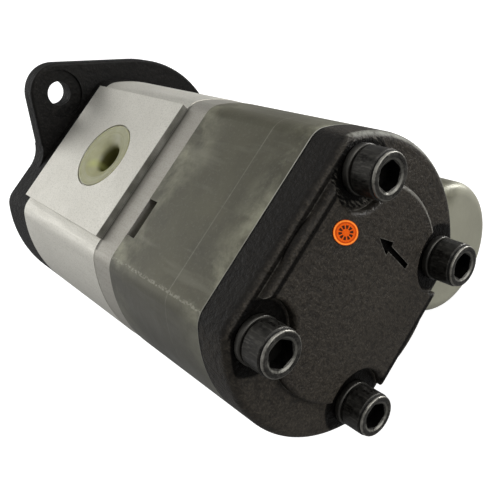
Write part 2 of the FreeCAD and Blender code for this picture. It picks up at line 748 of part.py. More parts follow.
def rear_gear_housing():
    """Thin grey casing of the rear stage, with the closed end of the inlet gallery."""
    main = section("rear_main", REAR_REAR, "Dims.rear_length")
    lobe_length = f"Dims.boss_rear + ({MIDDLE_REAR})"
    lobe = boss_lobe("rear_boss", "-Dims.boss_rear", lobe_length)
    lobe_round = dress("Part::Fillet", "rear_boss_round", lobe, number("boss_round"),
                       flat_at(-number("boss_rear")))
    casting = fuse("rear_casting", main, lobe_round)
    tools = [twin_bore("rear_pocket", POCKET, REAR_REAR, "Dims.rear_length")]
    tools += screw_bars("rear_screw", "Dims.screw_hole", REAR_REAR, "Dims.rear_length")
    tools += dowel_holes("rear_dowel_a", MIDDLE_REAR)
    tools += dowel_holes("rear_dowel_b", REAR_REAR)
    gallery_start = "-Dims.boss_rear + Dims.gallery_end"
    gallery_length = f"{lobe_length} - Dims.gallery_end"
    tools.append(cylinder("rear_gallery", "Dims.inlet_radius", gallery_length, gallery_start,
                          "Dims.boss_y", "Dims.boss_z"))
    tools.append(oil_slot("rear_slot", gallery_start, "6"))
    keep(cut("rear_bored", casting, *tools), "rear_gear_housing")


def rear_cover():
    """Black cast cover: a plate with a raised centre, four screw pockets and a rotation arrow."""
    plate = section("cover_plate", COVER_LAND, "Dims.cover_thick")
    land = cell_sum("flange_thick", "front_length", "middle_length", "rear_length", "cover_thick")
    rounded = dress("Part::Fillet", "cover_rounded", plate, number("cover_round"), flat_at(-land))
    centre_size = ("Dims.plateau_height + 1", "2 * Dims.plateau_reach", "2 * Dims.plateau_half")
    centre_corner = (PLATEAU, f"{CENTRE_Y} - Dims.plateau_reach", "-Dims.plateau_half")
    centre_slab = box("cover_centre_slab", centre_size, centre_corner)
    centre_disc = cylinder("cover_centre_disc", "Dims.plateau_radius", "Dims.plateau_height + 1", PLATEAU, CENTRE_Y)
    centre_blank = fuse("cover_centre_blank", centre_slab, centre_disc)
    pockets = screw_bars("cover_pocket", "Dims.screw_pocket", f"{PLATEAU} - 1", "Dims.plateau_height + 3")
    centre_cut = cut("cover_centre_cut", centre_blank, *pockets)
    top = land + number("plateau_height")
    centre = dress("Part::Fillet", "cover_centre", centre_cut, number("plateau_round"), flat_at(-top))
    casting = fuse("cover_casting", rounded, centre)
    tools = screw_bars("cover_screw", "Dims.screw_hole", f"{PLATEAU} - 1", "Dims.cover_thick + 8")
    tools += dowel_holes("cover_dowel", REAR_REAR)
    bush_rear = f"{REAR_REAR} - Dims.cover_bush_depth"
    tools.append(twin_bore("cover_bush_bore", BUSH_OUTER, bush_rear, "Dims.cover_bush_depth"))
    tools.append(ring_groove("cover_groove", f"{REAR_REAR} - Dims.groove_depth"))
    tools.append(arrow())
    keep(cut("cover_bored", casting, *tools), "rear_cover")


def cell_sum(*names):
    return sum(number(name) for name in names)


def arrow():
    """A rotation arrow across the drive axis, sunk into the raised centre."""
    body = doc.addObject("PartDesign::Body", "arrow_tool")
    sketch = new_sketch(body, "arrow_outline", "YZ_Plane")
    tip, neck, tail = "8.3", "0.4", "-12.9"
    head, shaft = "2.6", "1.0"
    corners = [("0", tip), (head, neck), (shaft, neck), (shaft, tail),
               (f"-{shaft}", tail), (f"-{shaft}", neck), (f"-{head}", neck)]
    outline(sketch, corners)
    pad = body.newObject("PartDesign::Pad", "arrow_pad")
    pad.Profile = sketch
    bind(pad, Length="Dims.arrow_depth + 1")
    return place_body(body, f"{PLATEAU} - 1")


def place_body(body, x, y="0", z="0"):
    """Moves a body whose sketches already lie across the shaft axis."""
    return bind(body, Placement__Base__x=x, Placement__Base__y=y, Placement__Base__z=z)


def fasteners():
    """Four long socket head screws with plain washers, from the cover into the flange."""
    screws = []
    washers = []
    for i, (side_y, side_z) in enumerate(SCREW_SIGNS):
        y, z = screw_place(side_y, side_z)
        head_rear = f"{HEAD_SEAT} - Dims.head_height"
        chamfer = "Dims.head_chamfer"
        crown = cone(f"screw_crown_{i}", f"Dims.head_radius - {chamfer}", "Dims.head_radius", chamfer,
                     head_rear, y, z)
        head = cylinder(f"screw_head_{i}", "Dims.head_radius", f"Dims.head_height - {chamfer}",
                        f"{head_rear} + {chamfer}", y, z)
        shank = cylinder(f"screw_shank_{i}", "Dims.screw_radius", "Dims.screw_length + 1",
                         f"{HEAD_SEAT} - 1", y, z)
        blank = fuse(f"screw_blank_{i}", crown, head, shank)
        socket = doc.addObject("Part::Prism", f"screw_socket_{i}")
        socket.Polygon = 6
        bind(socket, Circumradius="Dims.socket_corner", Height="Dims.socket_depth + 1")
        place(socket, f"{head_rear} - 1", y, z, "X")
        mouth = cone(f"screw_mouth_{i}", "Dims.socket_mouth", "Dims.socket_mouth - 2 * Dims.socket_sink",
                     "Dims.socket_sink", head_rear, y, z)
        screws.append(cut(f"screw_{i}", blank, socket, mouth))
        washers.append(tube(f"washer_{i}", "Dims.washer_radius", "Dims.screw_hole - 0.2", "Dims.washer_thick",
                            HEAD_SEAT, y, z))
    keep(group("screw_set", screws), "cap_screws")
    keep(group("washer_set", washers), "screw_washers")


def dowel_pins():
    """Two locating dowels in each of the four joints of the stack."""
    pins = []
    for i, joint in enumerate((FLANGE_REAR, FRONT_REAR, MIDDLE_REAR, REAR_REAR)):
        pins += dowel_bars(f"dowel_{i}", "Dims.dowel_radius", f"{joint} - Dims.dowel_length / 2",
                           "Dims.dowel_length")
    keep(group("dowel_set", pins), "dowel_pins")


def joint_seal(label, groove_rear):
    """A round-section ring laid as a racetrack round both gears."""
    middle = f"{groove_rear} + Dims.groove_depth / 2"
    pieces = []
    for key, y, turn in (("drive", "0", 90), ("driven", "Dims.axis_gap", -90)):
        bend = doc.addObject("Part::Torus", f"{label}_{key}")
        bind(bend, Radius1="Dims.ring_radius", Radius2="Dims.ring_section")
        bend.Angle3 = 180
        spin = FreeCAD.Rotation(FreeCAD.Vector(1, 0, 0), turn)
        bend.Placement = FreeCAD.Placement(FreeCAD.Vector(), spin.multiply(start_turn()))
        bind(bend, Placement__Base__x=middle, Placement__Base__y=y)
        pieces.append(bend)
    for key, side in (("low", -1), ("high", 1)):
        straight = cylinder(f"{label}_{key}", "Dims.ring_section", "Dims.axis_gap", middle, "0",
                            f"{side} * Dims.ring_radius", "Y")
        pieces.append(straight)
    keep(fuse(f"{label}_ring", *pieces), label)


def start_turn():
    """Lays a half torus across the shaft axis with its ends on the +Z and -Z sides."""
    lay_down = FreeCAD.Rotation(FreeCAD.Vector(0, 1, 0), 90)
    return lay_down.multiply(FreeCAD.Rotation(FreeCAD.Vector(0, 0, 1), 90))


def inlet_gallery_seal():
    """Ring seal round the inlet gallery."""
    ring = doc.addObject("Part::Torus", "gallery_ring_torus")
    bind(ring, Radius1="Dims.gallery_ring", Radius2="Dims.ring_section")
    place(ring, f"{MIDDLE_REAR} + Dims.groove_depth / 2", "Dims.boss_y", "Dims.boss_z", "X")
    keep(ring, "inlet_gallery_seal")


def bushing_block(label, rear, seal_side):
    """Floating figure-of-eight bearing block of the front stage, with a seal groove in its outer end."""
    blank = twin_bore(f"{label}_blank", f"{POCKET} - Dims.block_play", rear, "Dims.block_length")
    tools = [twin_bore(f"{label}_bores", BUSH_OUTER, rear, "Dims.block_length")]
    groove_rear = rear if seal_side < 0 else f"{rear} + Dims.block_length - Dims.block_seal_depth"
    outer = twin_bore(f"{label}_groove_outer", "Dims.block_seal_radius + Dims.block_seal_width / 2",
                      groove_rear, "Dims.block_seal_depth")
    inner = twin_bore(f"{label}_groove_inner", "Dims.block_seal_radius - Dims.block_seal_width / 2",
                      groove_rear, "Dims.block_seal_depth")
    tools.append(cut(f"{label}_groove", outer, inner))
    gear_side = rear if seal_side > 0 else f"{rear} + Dims.block_length - 3"
    for key, side in (("pressure", 1), ("suction", -1)):
        tools.append(cylinder(f"{label}_{key}_relief", "Dims.relief_radius", "3", gear_side, CENTRE_Y,
                              f"{side} * Dims.relief_offset"))
    keep(cut(f"{label}_block", blank, *tools), label)
    seal_outer = twin_bore(f"{label}_seal_outer", "Dims.block_seal_radius + Dims.block_seal_width / 2 - 0.05",
                           groove_rear, "Dims.block_seal_depth")
    seal_inner = twin_bore(f"{label}_seal_inner", "Dims.block_seal_radius - Dims.block_seal_width / 2 + 0.05",
                           groove_rear, "Dims.block_seal_depth")
    keep(cut(f"{label}_seal_ring", seal_outer, seal_inner), label.replace("bushing_block", "block_seal"))


def bush_pair(label, rear, length):
    """Two plain bearing bushes, one on each gear axis."""
    bushes = [tube(f"{label}_{key}", BUSH_OUTER, "Dims.journal + Dims.journal_play", length, rear, y)
              for key, y in AXES.items()]
    keep(group(f"{label}_pair", bushes), label)


def wear_plate(label, rear):
    """Bronze side plate of the rear stage, relieved on the pressure and suction sides."""
    blank = twin_bore(f"{label}_blank", f"{POCKET} - Dims.block_play", rear, "Dims.wear_plate")
    tools = [twin_bore(f"{label}_bores", "Dims.journal + 0.35", rear, "Dims.wear_plate")]
    for key, side in (("pressure", 1), ("suction", -1)):
        tools.append(cylinder(f"{label}_{key}", "Dims.relief_radius", "Dims.wear_plate", rear, CENTRE_Y,
                              f"{side} * Dims.relief_offset"))
    keep(cut(f"{label}_plate", blank, *tools), label)


def port_plug():
    """Push-in plastic protector: a flush rim and a hollow tapered cup."""
    top = "0"
    rim_under = "-Dims.port_mouth_depth + 0.1"
    corners = [
        ("0", "-Dims.plug_length"),
        ("Dims.plug_end", "-Dims.plug_length"),
        ("Dims.plug_top", rim_under),
        ("Dims.plug_rim", rim_under),
        ("Dims.plug_rim", top),
        ("Dims.plug_funnel", top),
        ("Dims.plug_throat", "-Dims.plug_throat_depth"),
        ("Dims.plug_core", "-Dims.plug_length + Dims.plug_wall"),
        ("0", "-Dims.plug_length + Dims.plug_wall"),
    ]
    top_z = "Dims.flat_half + Dims.pad_proud"
    plug = turned("port_plug_body", corners, "-Dims.port_back", "Dims.pad_centre", top_z, "Z")
    keep(plug, "port_plug")


def shaft_steps(name, steps, y="0"):
    """Cylinders end to end along a gear axis, from (rear plane, length, radius) rows."""
    return [cylinder(f"{name}_{i}", radius, length, rear, y) for i, (rear, length, radius) in enumerate(steps)]


def drive_gear_shaft():
    """Front-stage drive gear, cut on the drive shaft, with a keyed end and a splined tail."""
    teeth = extrude("drive_teeth", gear_face("drive_outline", 0), FRONT_GEAR_LENGTH, FRONT_GEAR_REAR)
    steps = [
        (f"{FRONT_REAR} + 0.2", "Dims.flange_thick + Dims.front_length + Dims.shaft_shoulder - 0.2", "Dims.journal"),
        ("Dims.shaft_shoulder - 1", "Dims.shaft_reach - Dims.shaft_shoulder", "Dims.shaft_end"),
    ]
    bars = shaft_steps("drive_step", steps)
    nose = cone("drive_nose", "Dims.shaft_end", "Dims.shaft_end - 1", "1", "Dims.shaft_reach - 1")
    tail_face = spline_face("drive_tail_outline", number("spline_tip"), number("spline_root"))
    tail = extrude("drive_tail", tail_face, "Dims.spline_length + 1", f"{FRONT_REAR} - Dims.spline_length + 0.2")
    blank = fuse("drive_blank", teeth, tail, nose, *bars)
    keyway_corner = ("Dims.shaft_reach - 3 - Dims.key_length - 0.1", "-Dims.key_width / 2 - 0.02",
                     "Dims.shaft_end - Dims.key_depth")
    keyway = box("drive_keyway", ("Dims.key_length + 0.2", "Dims.key_width + 0.04", "5"), keyway_corner)
    keep(cut("drive_shaft_cut", blank, keyway), "drive_gear_shaft")
    key_corner = ("Dims.shaft_reach - 3 - Dims.key_length", "-Dims.key_width / 2",
                  "Dims.shaft_end - Dims.key_depth + 0.02")
    key = box("shaft_key_box", ("Dims.key_length", "Dims.key_width", "2 * Dims.key_depth - 0.02"), key_corner)
    keep(key, "shaft_key")


def driven_gear_shaft():
    """Front-stage driven gear with a journal each side."""
    half_pitch = math.pi / number("teeth")
    face = gear_face("driven_outline", half_pitch)
    teeth = extrude("driven_teeth", face, FRONT_GEAR_LENGTH, FRONT_GEAR_REAR, "Dims.axis_gap")
    steps = [(f"{FRONT_REAR} + 0.4", "Dims.front_length - 0.8", "Dims.journal")]
    bars = shaft_steps("driven_step", steps, "Dims.axis_gap")
    keep(fuse("driven_gear", teeth, *bars), "driven_gear_shaft")


def rear_stage_gears():
    """Narrow gears of the rear stage, the drive one with a splined nose for the coupling sleeve."""
    journal_rear = f"{REAR_REAR} - Dims.cover_bush_depth + 0.5"
    journal_length = "Dims.cover_bush_depth + Dims.rear_length + Dims.middle_bush - 1"
    half_pitch = math.pi / number("teeth")
    drive_teeth = extrude("rear_drive_teeth", gear_face("rear_drive_outline", 0), REAR_GEAR_LENGTH, REAR_GEAR_REAR)
    nose_face = spline_face("rear_nose_outline", number("spline_tip"), number("spline_root"))
    nose_rear = f"{MIDDLE_REAR} + Dims.middle_bush - 1"
    nose = extrude("rear_nose", nose_face, "Dims.spline_length + 1", nose_rear)
    bars = shaft_steps("rear_drive_step", [(journal_rear, journal_length, "Dims.journal")])
    keep(fuse("rear_drive_gear_blank", drive_teeth, nose, *bars), "rear_drive_gear")
    driven_face = gear_face("rear_driven_outline", half_pitch)
    driven_teeth = extrude("rear_driven_teeth", driven_face, REAR_GEAR_LENGTH, REAR_GEAR_REAR, "Dims.axis_gap")
    driven_bars = shaft_steps("rear_driven_step", [(journal_rear, journal_length, "Dims.journal")], "Dims.axis_gap")
    keep(fuse("rear_driven_gear_blank", driven_teeth, *driven_bars), "rear_driven_gear")


def coupling_sleeve():
    """Splined sleeve that joins the two drive shafts inside the middle casing."""
    rear = f"{MIDDLE_REAR} + Dims.middle_bush + 0.5"
    blank = cylinder("sleeve_blank", "Dims.sleeve_radius", "Dims.sleeve_length", rear)
    play = number("spline_play")
    hole_face = spline_face("sleeve_outline", number("spline_tip") + play, number("spline_root") + play)
    hole = extrude("sleeve_hole", hole_face, "Dims.sleeve_length + 2", f"{rear} - 1")
    sleeve = cut("sleeve_cut", blank, hole)
    keep(sleeve, "coupling_sleeve")


def cover_label():
    """Small oval inspection sticker on the cover's raised centre."""
    rim = doc.addObject("Part::Ellipse", "label_rim")
    bind(rim, MajorRadius="Dims.label_long", MinorRadius="Dims.label_short")
    lean = FreeCAD.Rotation(FreeCAD.Vector(1, 0, 0), number("label_lean"))
    lay_down = FreeCAD.Rotation(FreeCAD.Vector(0, 1, 0), FreeCAD.Vector(0, 0, 1), FreeCAD.Vector(1, 0, 0))
    rim.Placement = FreeCAD.Placement(FreeCAD.Vector(), lean.multiply(lay_down))
    disc = extrude("label_disc", rim, "Dims.label_thick", f"{PLATEAU} - Dims.label_thick")
    bind(disc, Placement__Base__y="Dims.label_y", Placement__Base__z="Dims.label_z")
    keep(disc, "cover_label")


mounting_flange()
shaft_seal()
seal_retaining_ring()
front_housing()
intermediate_housing()
rear_gear_housing()
rear_cover()
fasteners()
dowel_pins()
joint_seal("flange_joint_seal", f"{FLANGE_REAR} - Dims.groove_depth")
joint_seal("front_joint_seal", FRONT_REAR)
joint_seal("middle_joint_seal", MIDDLE_REAR)
joint_seal("cover_joint_seal", f"{REAR_REAR} - Dims.groove_depth")
inlet_gallery_seal()
bushing_block("front_bushing_block", f"{FLANGE_REAR} - Dims.block_length - Dims.side_play", 1)
bushing_block("rear_bushing_block", f"{FRONT_REAR} + Dims.side_play", -1)
bush_pair("front_block_bushes", f"{FLANGE_REAR} - Dims.block_length - Dims.side_play", "Dims.block_length")
bush_pair("rear_block_bushes", f"{FRONT_REAR} + Dims.side_play", "Dims.block_length")
bush_pair("middle_bushes", MIDDLE_REAR, "Dims.middle_bush")
bush_pair("cover_bushes", f"{REAR_REAR} - Dims.cover_bush_depth", "Dims.cover_bush_depth")
wear_plate("front_wear_plate", f"{MIDDLE_REAR} - Dims.wear_plate - Dims.side_play")
wear_plate("rear_wear_plate", f"{REAR_REAR} + Dims.side_play")
port_plug()
drive_gear_shaft()
driven_gear_shaft()
rear_stage_gears()
coupling_sleeve()
cover_label()
doc.recompute()

faulty = [thing.Name for thing in doc.Objects if "Invalid" in thing.State or "Error" in thing.State]
faulty += [label for label, thing in parts.items() if thing.Shape.isNull() or not thing.Shape.isValid()]
if faulty:
    raise RuntimeError(f"these objects failed: {faulty}")

os.makedirs("parts", exist_ok=True)
for label, thing in sorted(parts.items()):
    thing.Shape.exportStep(f"parts/{label}.step")
    print(label, len(thing.Shape.Solids), round(thing.Shape.Volume))
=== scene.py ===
"""Looks for the tandem hydraulic gear pump.

Procedural materials for every CAD body, detailed screws, washers and port plug, light and camera.
Lengths are metres in the CAD frame: +X out along the drive shaft, +Z towards the outlet pad.
"""

import json
import math

import bmesh
import bpy
from mathutils import Matrix, Vector


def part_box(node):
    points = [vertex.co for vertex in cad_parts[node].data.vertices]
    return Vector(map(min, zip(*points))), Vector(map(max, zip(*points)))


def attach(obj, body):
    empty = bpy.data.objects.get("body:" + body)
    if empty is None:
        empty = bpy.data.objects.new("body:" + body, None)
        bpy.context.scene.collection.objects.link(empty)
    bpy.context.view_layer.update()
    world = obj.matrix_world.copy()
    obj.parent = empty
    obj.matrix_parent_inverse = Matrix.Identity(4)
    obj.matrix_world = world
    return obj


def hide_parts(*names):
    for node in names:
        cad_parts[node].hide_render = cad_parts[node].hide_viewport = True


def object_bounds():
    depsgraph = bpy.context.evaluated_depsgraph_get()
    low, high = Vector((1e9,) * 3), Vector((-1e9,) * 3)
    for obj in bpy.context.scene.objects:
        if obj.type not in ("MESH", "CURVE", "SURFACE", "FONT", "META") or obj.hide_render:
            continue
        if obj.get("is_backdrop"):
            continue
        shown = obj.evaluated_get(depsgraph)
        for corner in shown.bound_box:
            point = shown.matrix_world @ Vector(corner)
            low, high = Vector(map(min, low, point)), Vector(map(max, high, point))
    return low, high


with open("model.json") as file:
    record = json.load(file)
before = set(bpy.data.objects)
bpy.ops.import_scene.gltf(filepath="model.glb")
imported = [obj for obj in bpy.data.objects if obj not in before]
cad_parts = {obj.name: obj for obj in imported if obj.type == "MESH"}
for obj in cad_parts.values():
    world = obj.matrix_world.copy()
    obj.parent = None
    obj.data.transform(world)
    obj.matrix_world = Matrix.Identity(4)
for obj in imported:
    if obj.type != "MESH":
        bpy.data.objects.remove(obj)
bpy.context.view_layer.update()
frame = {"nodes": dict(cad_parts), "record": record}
nodes = frame["nodes"]

# ---------------------------------------------------------------- node helpers


class Shader:
    """A node material being built; colours are linear RGB, lengths are metres in its own frame."""

    def __init__(self, name):
        self.material = bpy.data.materials.new(name)
        self.material.use_nodes = True
        self.tree = self.material.node_tree
        self.tree.nodes.clear()
        self.surface = self.node("ShaderNodeBsdfPrincipled")
        output = self.node("ShaderNodeOutputMaterial")
        self.link(self.surface.outputs["BSDF"], output.inputs["Surface"])
        self.place = self.node("ShaderNodeTexCoord").outputs["Object"]

    def node(self, kind, **settings):
        made = self.tree.nodes.new(kind)
        for name, value in settings.items():
            setattr(made, name, value)
        return made

    def link(self, source, target):
        self.tree.links.new(source, target)

    def feed(self, target, value):
        """Links a socket, or sets a plain value."""
        if isinstance(value, bpy.types.NodeSocket):
            self.link(value, target)
        else:
            target.default_value = value

    def set(self, **values):
        """Sets or links the surface's own sockets, with spaces written as underscores."""
        for name, value in values.items():
            self.feed(self.surface.inputs[name.replace("_", " ")], value)

    def stretched(self, x, y, z, turn=(0.0, 0.0, 0.0)):
        """The object's coordinates scaled along each axis, which stretches a texture."""
        mapping = self.node("ShaderNodeMapping")
        mapping.inputs["Scale"].default_value = (x, y, z)
        mapping.inputs["Rotation"].default_value = turn
        self.link(self.place, mapping.inputs["Vector"])
        return mapping.outputs["Vector"]

    def noise(self, scale, detail=4.0, roughness=0.55, distortion=0.0, vector=None):
        """A noise value; a scale of 1000 gives features about a millimetre across."""
        made = self.node("ShaderNodeTexNoise")
        self.link(vector or self.place, made.inputs["Vector"])
        made.inputs["Scale"].default_value = scale
        made.inputs["Detail"].default_value = detail
        made.inputs["Roughness"].default_value = roughness
        made.inputs["Distortion"].default_value = distortion
        return made.outputs["Fac"]

    def ramp(self, value, low, high, start=0.0, end=1.0):
        """A clamped straight-line remap."""
        made = self.node("ShaderNodeMapRange", clamp=True)
        self.link(value, made.inputs["Value"])
        made.inputs["From Min"].default_value = low
        made.inputs["From Max"].default_value = high
        self.feed(made.inputs["To Min"], start)
        self.feed(made.inputs["To Max"], end)
        return made.outputs["Result"]

    def math(self, operation, first, second=0.0):
        """A sum of two numbers or sockets, by the name of its operation."""
        made = self.node("ShaderNodeMath", operation=operation)
        self.feed(made.inputs[0], first)
        self.feed(made.inputs[1], second)
        return made.outputs[0]

    def mix(self, share, first, second, blend="MIX"):
        """A share of the second colour in the first."""
        made = self.node("ShaderNodeMix", data_type="RGBA", blend_type=blend)
        self.feed(made.inputs["Factor"], share)
        for key, value in (("A", first), ("B", second)):
            socket = [s for s in made.inputs if s.name == key and s.type == "RGBA"][0]
            self.feed(socket, (*value, 1.0) if isinstance(value, tuple) else value)
        return [s for s in made.outputs if s.type == "RGBA"][0]

    def axis(self, name):
        """One of the object's coordinates, in metres."""
        made = self.node("ShaderNodeSeparateXYZ")
        self.link(self.place, made.inputs[0])
        return made.outputs[name]

    def normal_axis(self, name):
        """One component of the surface's direction."""
        made = self.node("ShaderNodeSeparateXYZ")
        geometry = self.node("ShaderNodeNewGeometry")
        self.link(geometry.outputs["Normal"], made.inputs[0])
        return made.outputs[name]

    def around(self, centre, axes):
        """The distance, in metres, from a line through a centre in the plane of two axes."""
        offsets = [self.math("SUBTRACT", self.axis(axis), at) for axis, at in zip(axes, centre)]
        squares = [self.math("MULTIPLY", offset, offset) for offset in offsets]
        return self.math("SQRT", self.math("ADD", *squares))

    def edge_wear(self, width):
        """1 on sharp outer edges, 0 elsewhere, from the difference a rounded normal makes."""
        bevel = self.node("ShaderNodeBevel", samples=8)
        bevel.inputs["Radius"].default_value = width
        geometry = self.node("ShaderNodeNewGeometry")
        dot = self.node("ShaderNodeVectorMath", operation="DOT_PRODUCT")
        self.link(bevel.outputs["Normal"], dot.inputs[0])
        self.link(geometry.outputs["Normal"], dot.inputs[1])
        flush, sharp = 0.995, 0.86
        return self.ramp(dot.outputs["Value"], flush, sharp)

    def near(self, value, centre, half, soft=0.5):
        """1 within a half-width of a value, fading out over the last share of it."""
        off = self.math("ABSOLUTE", self.math("SUBTRACT", value, centre))
        return self.ramp(off, half, half * (1.0 - soft))

    def all_of(self, *masks):
        """The product of masks, which is 1 only where all of them are."""
        product = masks[0]
        for mask in masks[1:]:
            product = self.math("MULTIPLY", product, mask)
        return product

    def over(self, colour, paint, *masks):
        """A colour covered by a paint where all the masks are 1; a number among them is a share."""
        return self.mix(self.all_of(*masks), colour, paint)

    def clouds(self, texture, low, high, first, second):
        """Two colours that drift into each other with a texture."""
        return self.mix(self.ramp(texture, low, high), first, second)

    def bump(self, height, distance, strength=1.0, after=None):
        """A surface direction tilted by a height texture, on top of an earlier one if given."""
        made = self.node("ShaderNodeBump")
        made.inputs["Distance"].default_value = distance
        made.inputs["Strength"].default_value = strength
        self.link(height, made.inputs["Height"])
        if after is not None:
            self.link(after, made.inputs["Normal"])
        return made.outputs["Normal"]


# ---------------------------------------------------------------- materials

# Planes and radii of the CAD bodies that the paints follow.
BODY_MIDDLE_Y = 0.0185
BODY_RADIUS = 0.0540
BODY_FLAT = 0.0414
PAD_REAR = -0.0894
PAD_TOP = 0.0441
PAD_WALL_MIDDLE = 0.04265
PLATEAU_EDGE_RADIUS = 0.0384
POCKET_RADIUS = 0.0132

# Near-black colours painted as shade: the deep one in the arrow's recess and the pocket floors, the
# other along the cover's shade lines and joint and in the screws' groove under the rim.
DEEP_SHADE_BLACK = (0.0008, 0.0007, 0.0006)
JOINT_AND_SHADE_BLACK = (0.0012, 0.0011, 0.0010)


def cast_paint(name, dark, light, relief, gloss, wear, specular):
    """Thin satin black paint over a coarse sand-cast skin; returns the shader and its colour so far."""
    s = Shader(name)
    grain = s.noise(1250.0, detail=3.0, roughness=0.65)
    lumps = s.noise(430.0, detail=2.0)
    patches = s.noise(34.0, detail=5.0, roughness=0.6)
    crests = tuple(2.1 * channel for channel in light)
    pits = tuple(0.25 * channel for channel in dark)
    bare_iron = (0.13, 0.125, 0.11)
    colour = s.clouds(patches, 0.3, 0.72, dark, light)
    colour = s.over(colour, crests, s.ramp(grain, 0.46, 0.66, 0.0, 0.80))
    colour = s.over(colour, pits, s.ramp(lumps, 0.52, 0.36, 0.0, 0.45))
    rubbed = s.ramp(lumps, 0.35, 0.65, 0.2 * wear, wear)
    colour = s.over(colour, bare_iron, s.edge_wear(0.0007), rubbed)
    s.set(Roughness=s.ramp(grain, 0.3, 0.7, gloss, gloss + 0.16), Specular_IOR_Level=specular)
    fine = s.bump(grain, 0.00035 * relief, 0.9)
    s.set(Normal=s.bump(lumps, 0.0009 * relief, 0.7, fine))
    return s, colour


def shaded_flange_paint(name):
    """The mounting flange's paint: flatter than the cover's, with no worn edges, and blacker as painted
    shade for the shade the flange lies in.
    """
    # Painted shade: these colours are darker than the cover's paint because the flange lies in shade.
    dark, light = (0.0008, 0.0008, 0.0007), (0.0062, 0.0056, 0.0048)
    s, colour = cast_paint(name, dark, light, relief=0.6, gloss=0.50, wear=0.0, specular=0.10)
    s.set(Base_Color=colour)
    return s.material


def cover_arrow(s):
    """1 inside the cast arrow's recess."""
    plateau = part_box("rear_cover")[0].x
    return s.all_of(
        s.ramp(s.axis("X"), plateau + 0.00015, plateau + 0.0006),
        s.near(s.axis("Y"), 0.0, 0.0085, 0.1),
        s.near(s.axis("Z"), -0.0022, 0.0125, 0.1),
    )


def cover_shade_lines_and_joint(s, land):
    """1 along the foot and the crest of the cover's raised centre, which are painted shade lines, and
    along its dark joint.
    """
    x = s.axis("X")
    across = s.math("ABSOLUTE", s.axis("Z"))
    foot = s.all_of(s.near(across, 0.0392, 0.0009), s.near(x, land, 0.0008, 0.4))
    crest = s.all_of(s.near(across, 0.0361, 0.0012), s.ramp(x, land - 0.0020, land - 0.0026))
    joint = s.near(x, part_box("rear_gear_housing")[0].x - 0.0003, 0.0005)
    return s.math("MAXIMUM", s.math("MAXIMUM", foot, crest), joint)


def cover_paint(name):
    """The cover's paint, with pale rubbed edges, cut marks in one pocket, a dark joint, painted shade in
    the pocket floors, in the arrow's recess, along the raised centre's foot and crest and on its
    up-facing flanks, and painted highlights along the raised centre's edge and on the outer rounding.
    """
    dark, light = (0.0132, 0.0109, 0.0084), (0.0220, 0.0187, 0.0143)
    s, colour = cast_paint(name, dark, light, relief=1.0, gloss=0.42, wear=0.8, specular=0.15)
    _, land, spots = screw_seats()

    arrow = cover_arrow(s)
    # Painted shade: the arrow's recess floor is painted near black, and made metallic below, as the
    # shade in the recess.
    colour = s.over(colour, DEEP_SHADE_BLACK, arrow, 0.96)

    unlit = arrow
    on_land = s.near(s.axis("X"), land, 0.0004)
    pockets = []
    for spot in spots:
        reach = s.around(spot, ("Y", "Z"))
        pocket = s.all_of(s.ramp(reach, POCKET_RADIUS, POCKET_RADIUS - 0.0008), on_land)
        # Painted shade: the pocket floors round the washers are painted near black, and made metallic
        # below.
        colour = s.over(colour, DEEP_SHADE_BLACK, pocket, 0.92)
        unlit = s.math("MAXIMUM", unlit, s.math("MULTIPLY", pocket, 0.8))
        pockets.append((reach, pocket))
    reach, pocket = pockets[0]
    swarf = s.noise(1500.0, detail=2.0, vector=s.stretched(1.0, 1.0, 0.22))
    cut_metal = (0.15, 0.14, 0.12)
    beyond_washer = s.ramp(reach, 0.0098, 0.0104)
    colour = s.over(colour, cut_metal, pocket, beyond_washer, s.ramp(swarf, 0.50, 0.60, 0.0, 0.40))

    shade_lines_and_joint = cover_shade_lines_and_joint(s, land)
    # Painted shade along the raised centre's foot and crest, and a dark joint; the metallic below keeps
    # them black.
    colour = s.over(colour, JOINT_AND_SHADE_BLACK, shade_lines_and_joint, 0.85)
    s.set(Metallic=s.math("MAXIMUM", unlit, s.math("MULTIPLY", shade_lines_and_joint, 0.8)))

    # Painted shade: the up-facing flanks of the raised centre are painted near black, darkest on the
    # outer sides.
    flank_shade_black = (0.0030, 0.0026, 0.0022)
    facing_up = s.ramp(s.normal_axis("Z"), 0.70, 0.95, 0.0, 0.75)
    outer_side = s.ramp(s.math("ABSOLUTE", s.axis("Z")), 0.0380, 0.0400, 0.45, 1.0)
    colour = s.over(colour, flank_shade_black, facing_up, outer_side)

    # Painted highlights: a pale arc along the raised centre's rounded edge and a pale band on the outer
    # rounding, on the upper side only.
    upper = s.ramp(s.axis("Y"), -0.006, -0.014)
    wear_and_highlight_share = s.ramp(s.noise(380.0, detail=3.0), 0.3, 0.6, 0.45, 1.0)
    edge_ring = s.near(s.around((BODY_MIDDLE_Y, 0.0), ("Y", "Z")), PLATEAU_EDGE_RADIUS, 0.0009, 0.6)
    raised = s.ramp(s.axis("X"), land - 0.0010, land - 0.0026)
    colour = s.over(colour, (0.14, 0.136, 0.12), edge_ring, raised, upper, wear_and_highlight_share, 0.8)
    turned_up = s.near(s.normal_axis("Y"), -0.70, 0.30, 0.8)
    rounding = s.near(s.axis("X"), land + 0.0014, 0.0018)
    colour = s.over(colour, (0.24, 0.24, 0.21), turned_up, rounding, upper, wear_and_highlight_share, 0.75)
    s.set(Base_Color=colour)
    return s.material


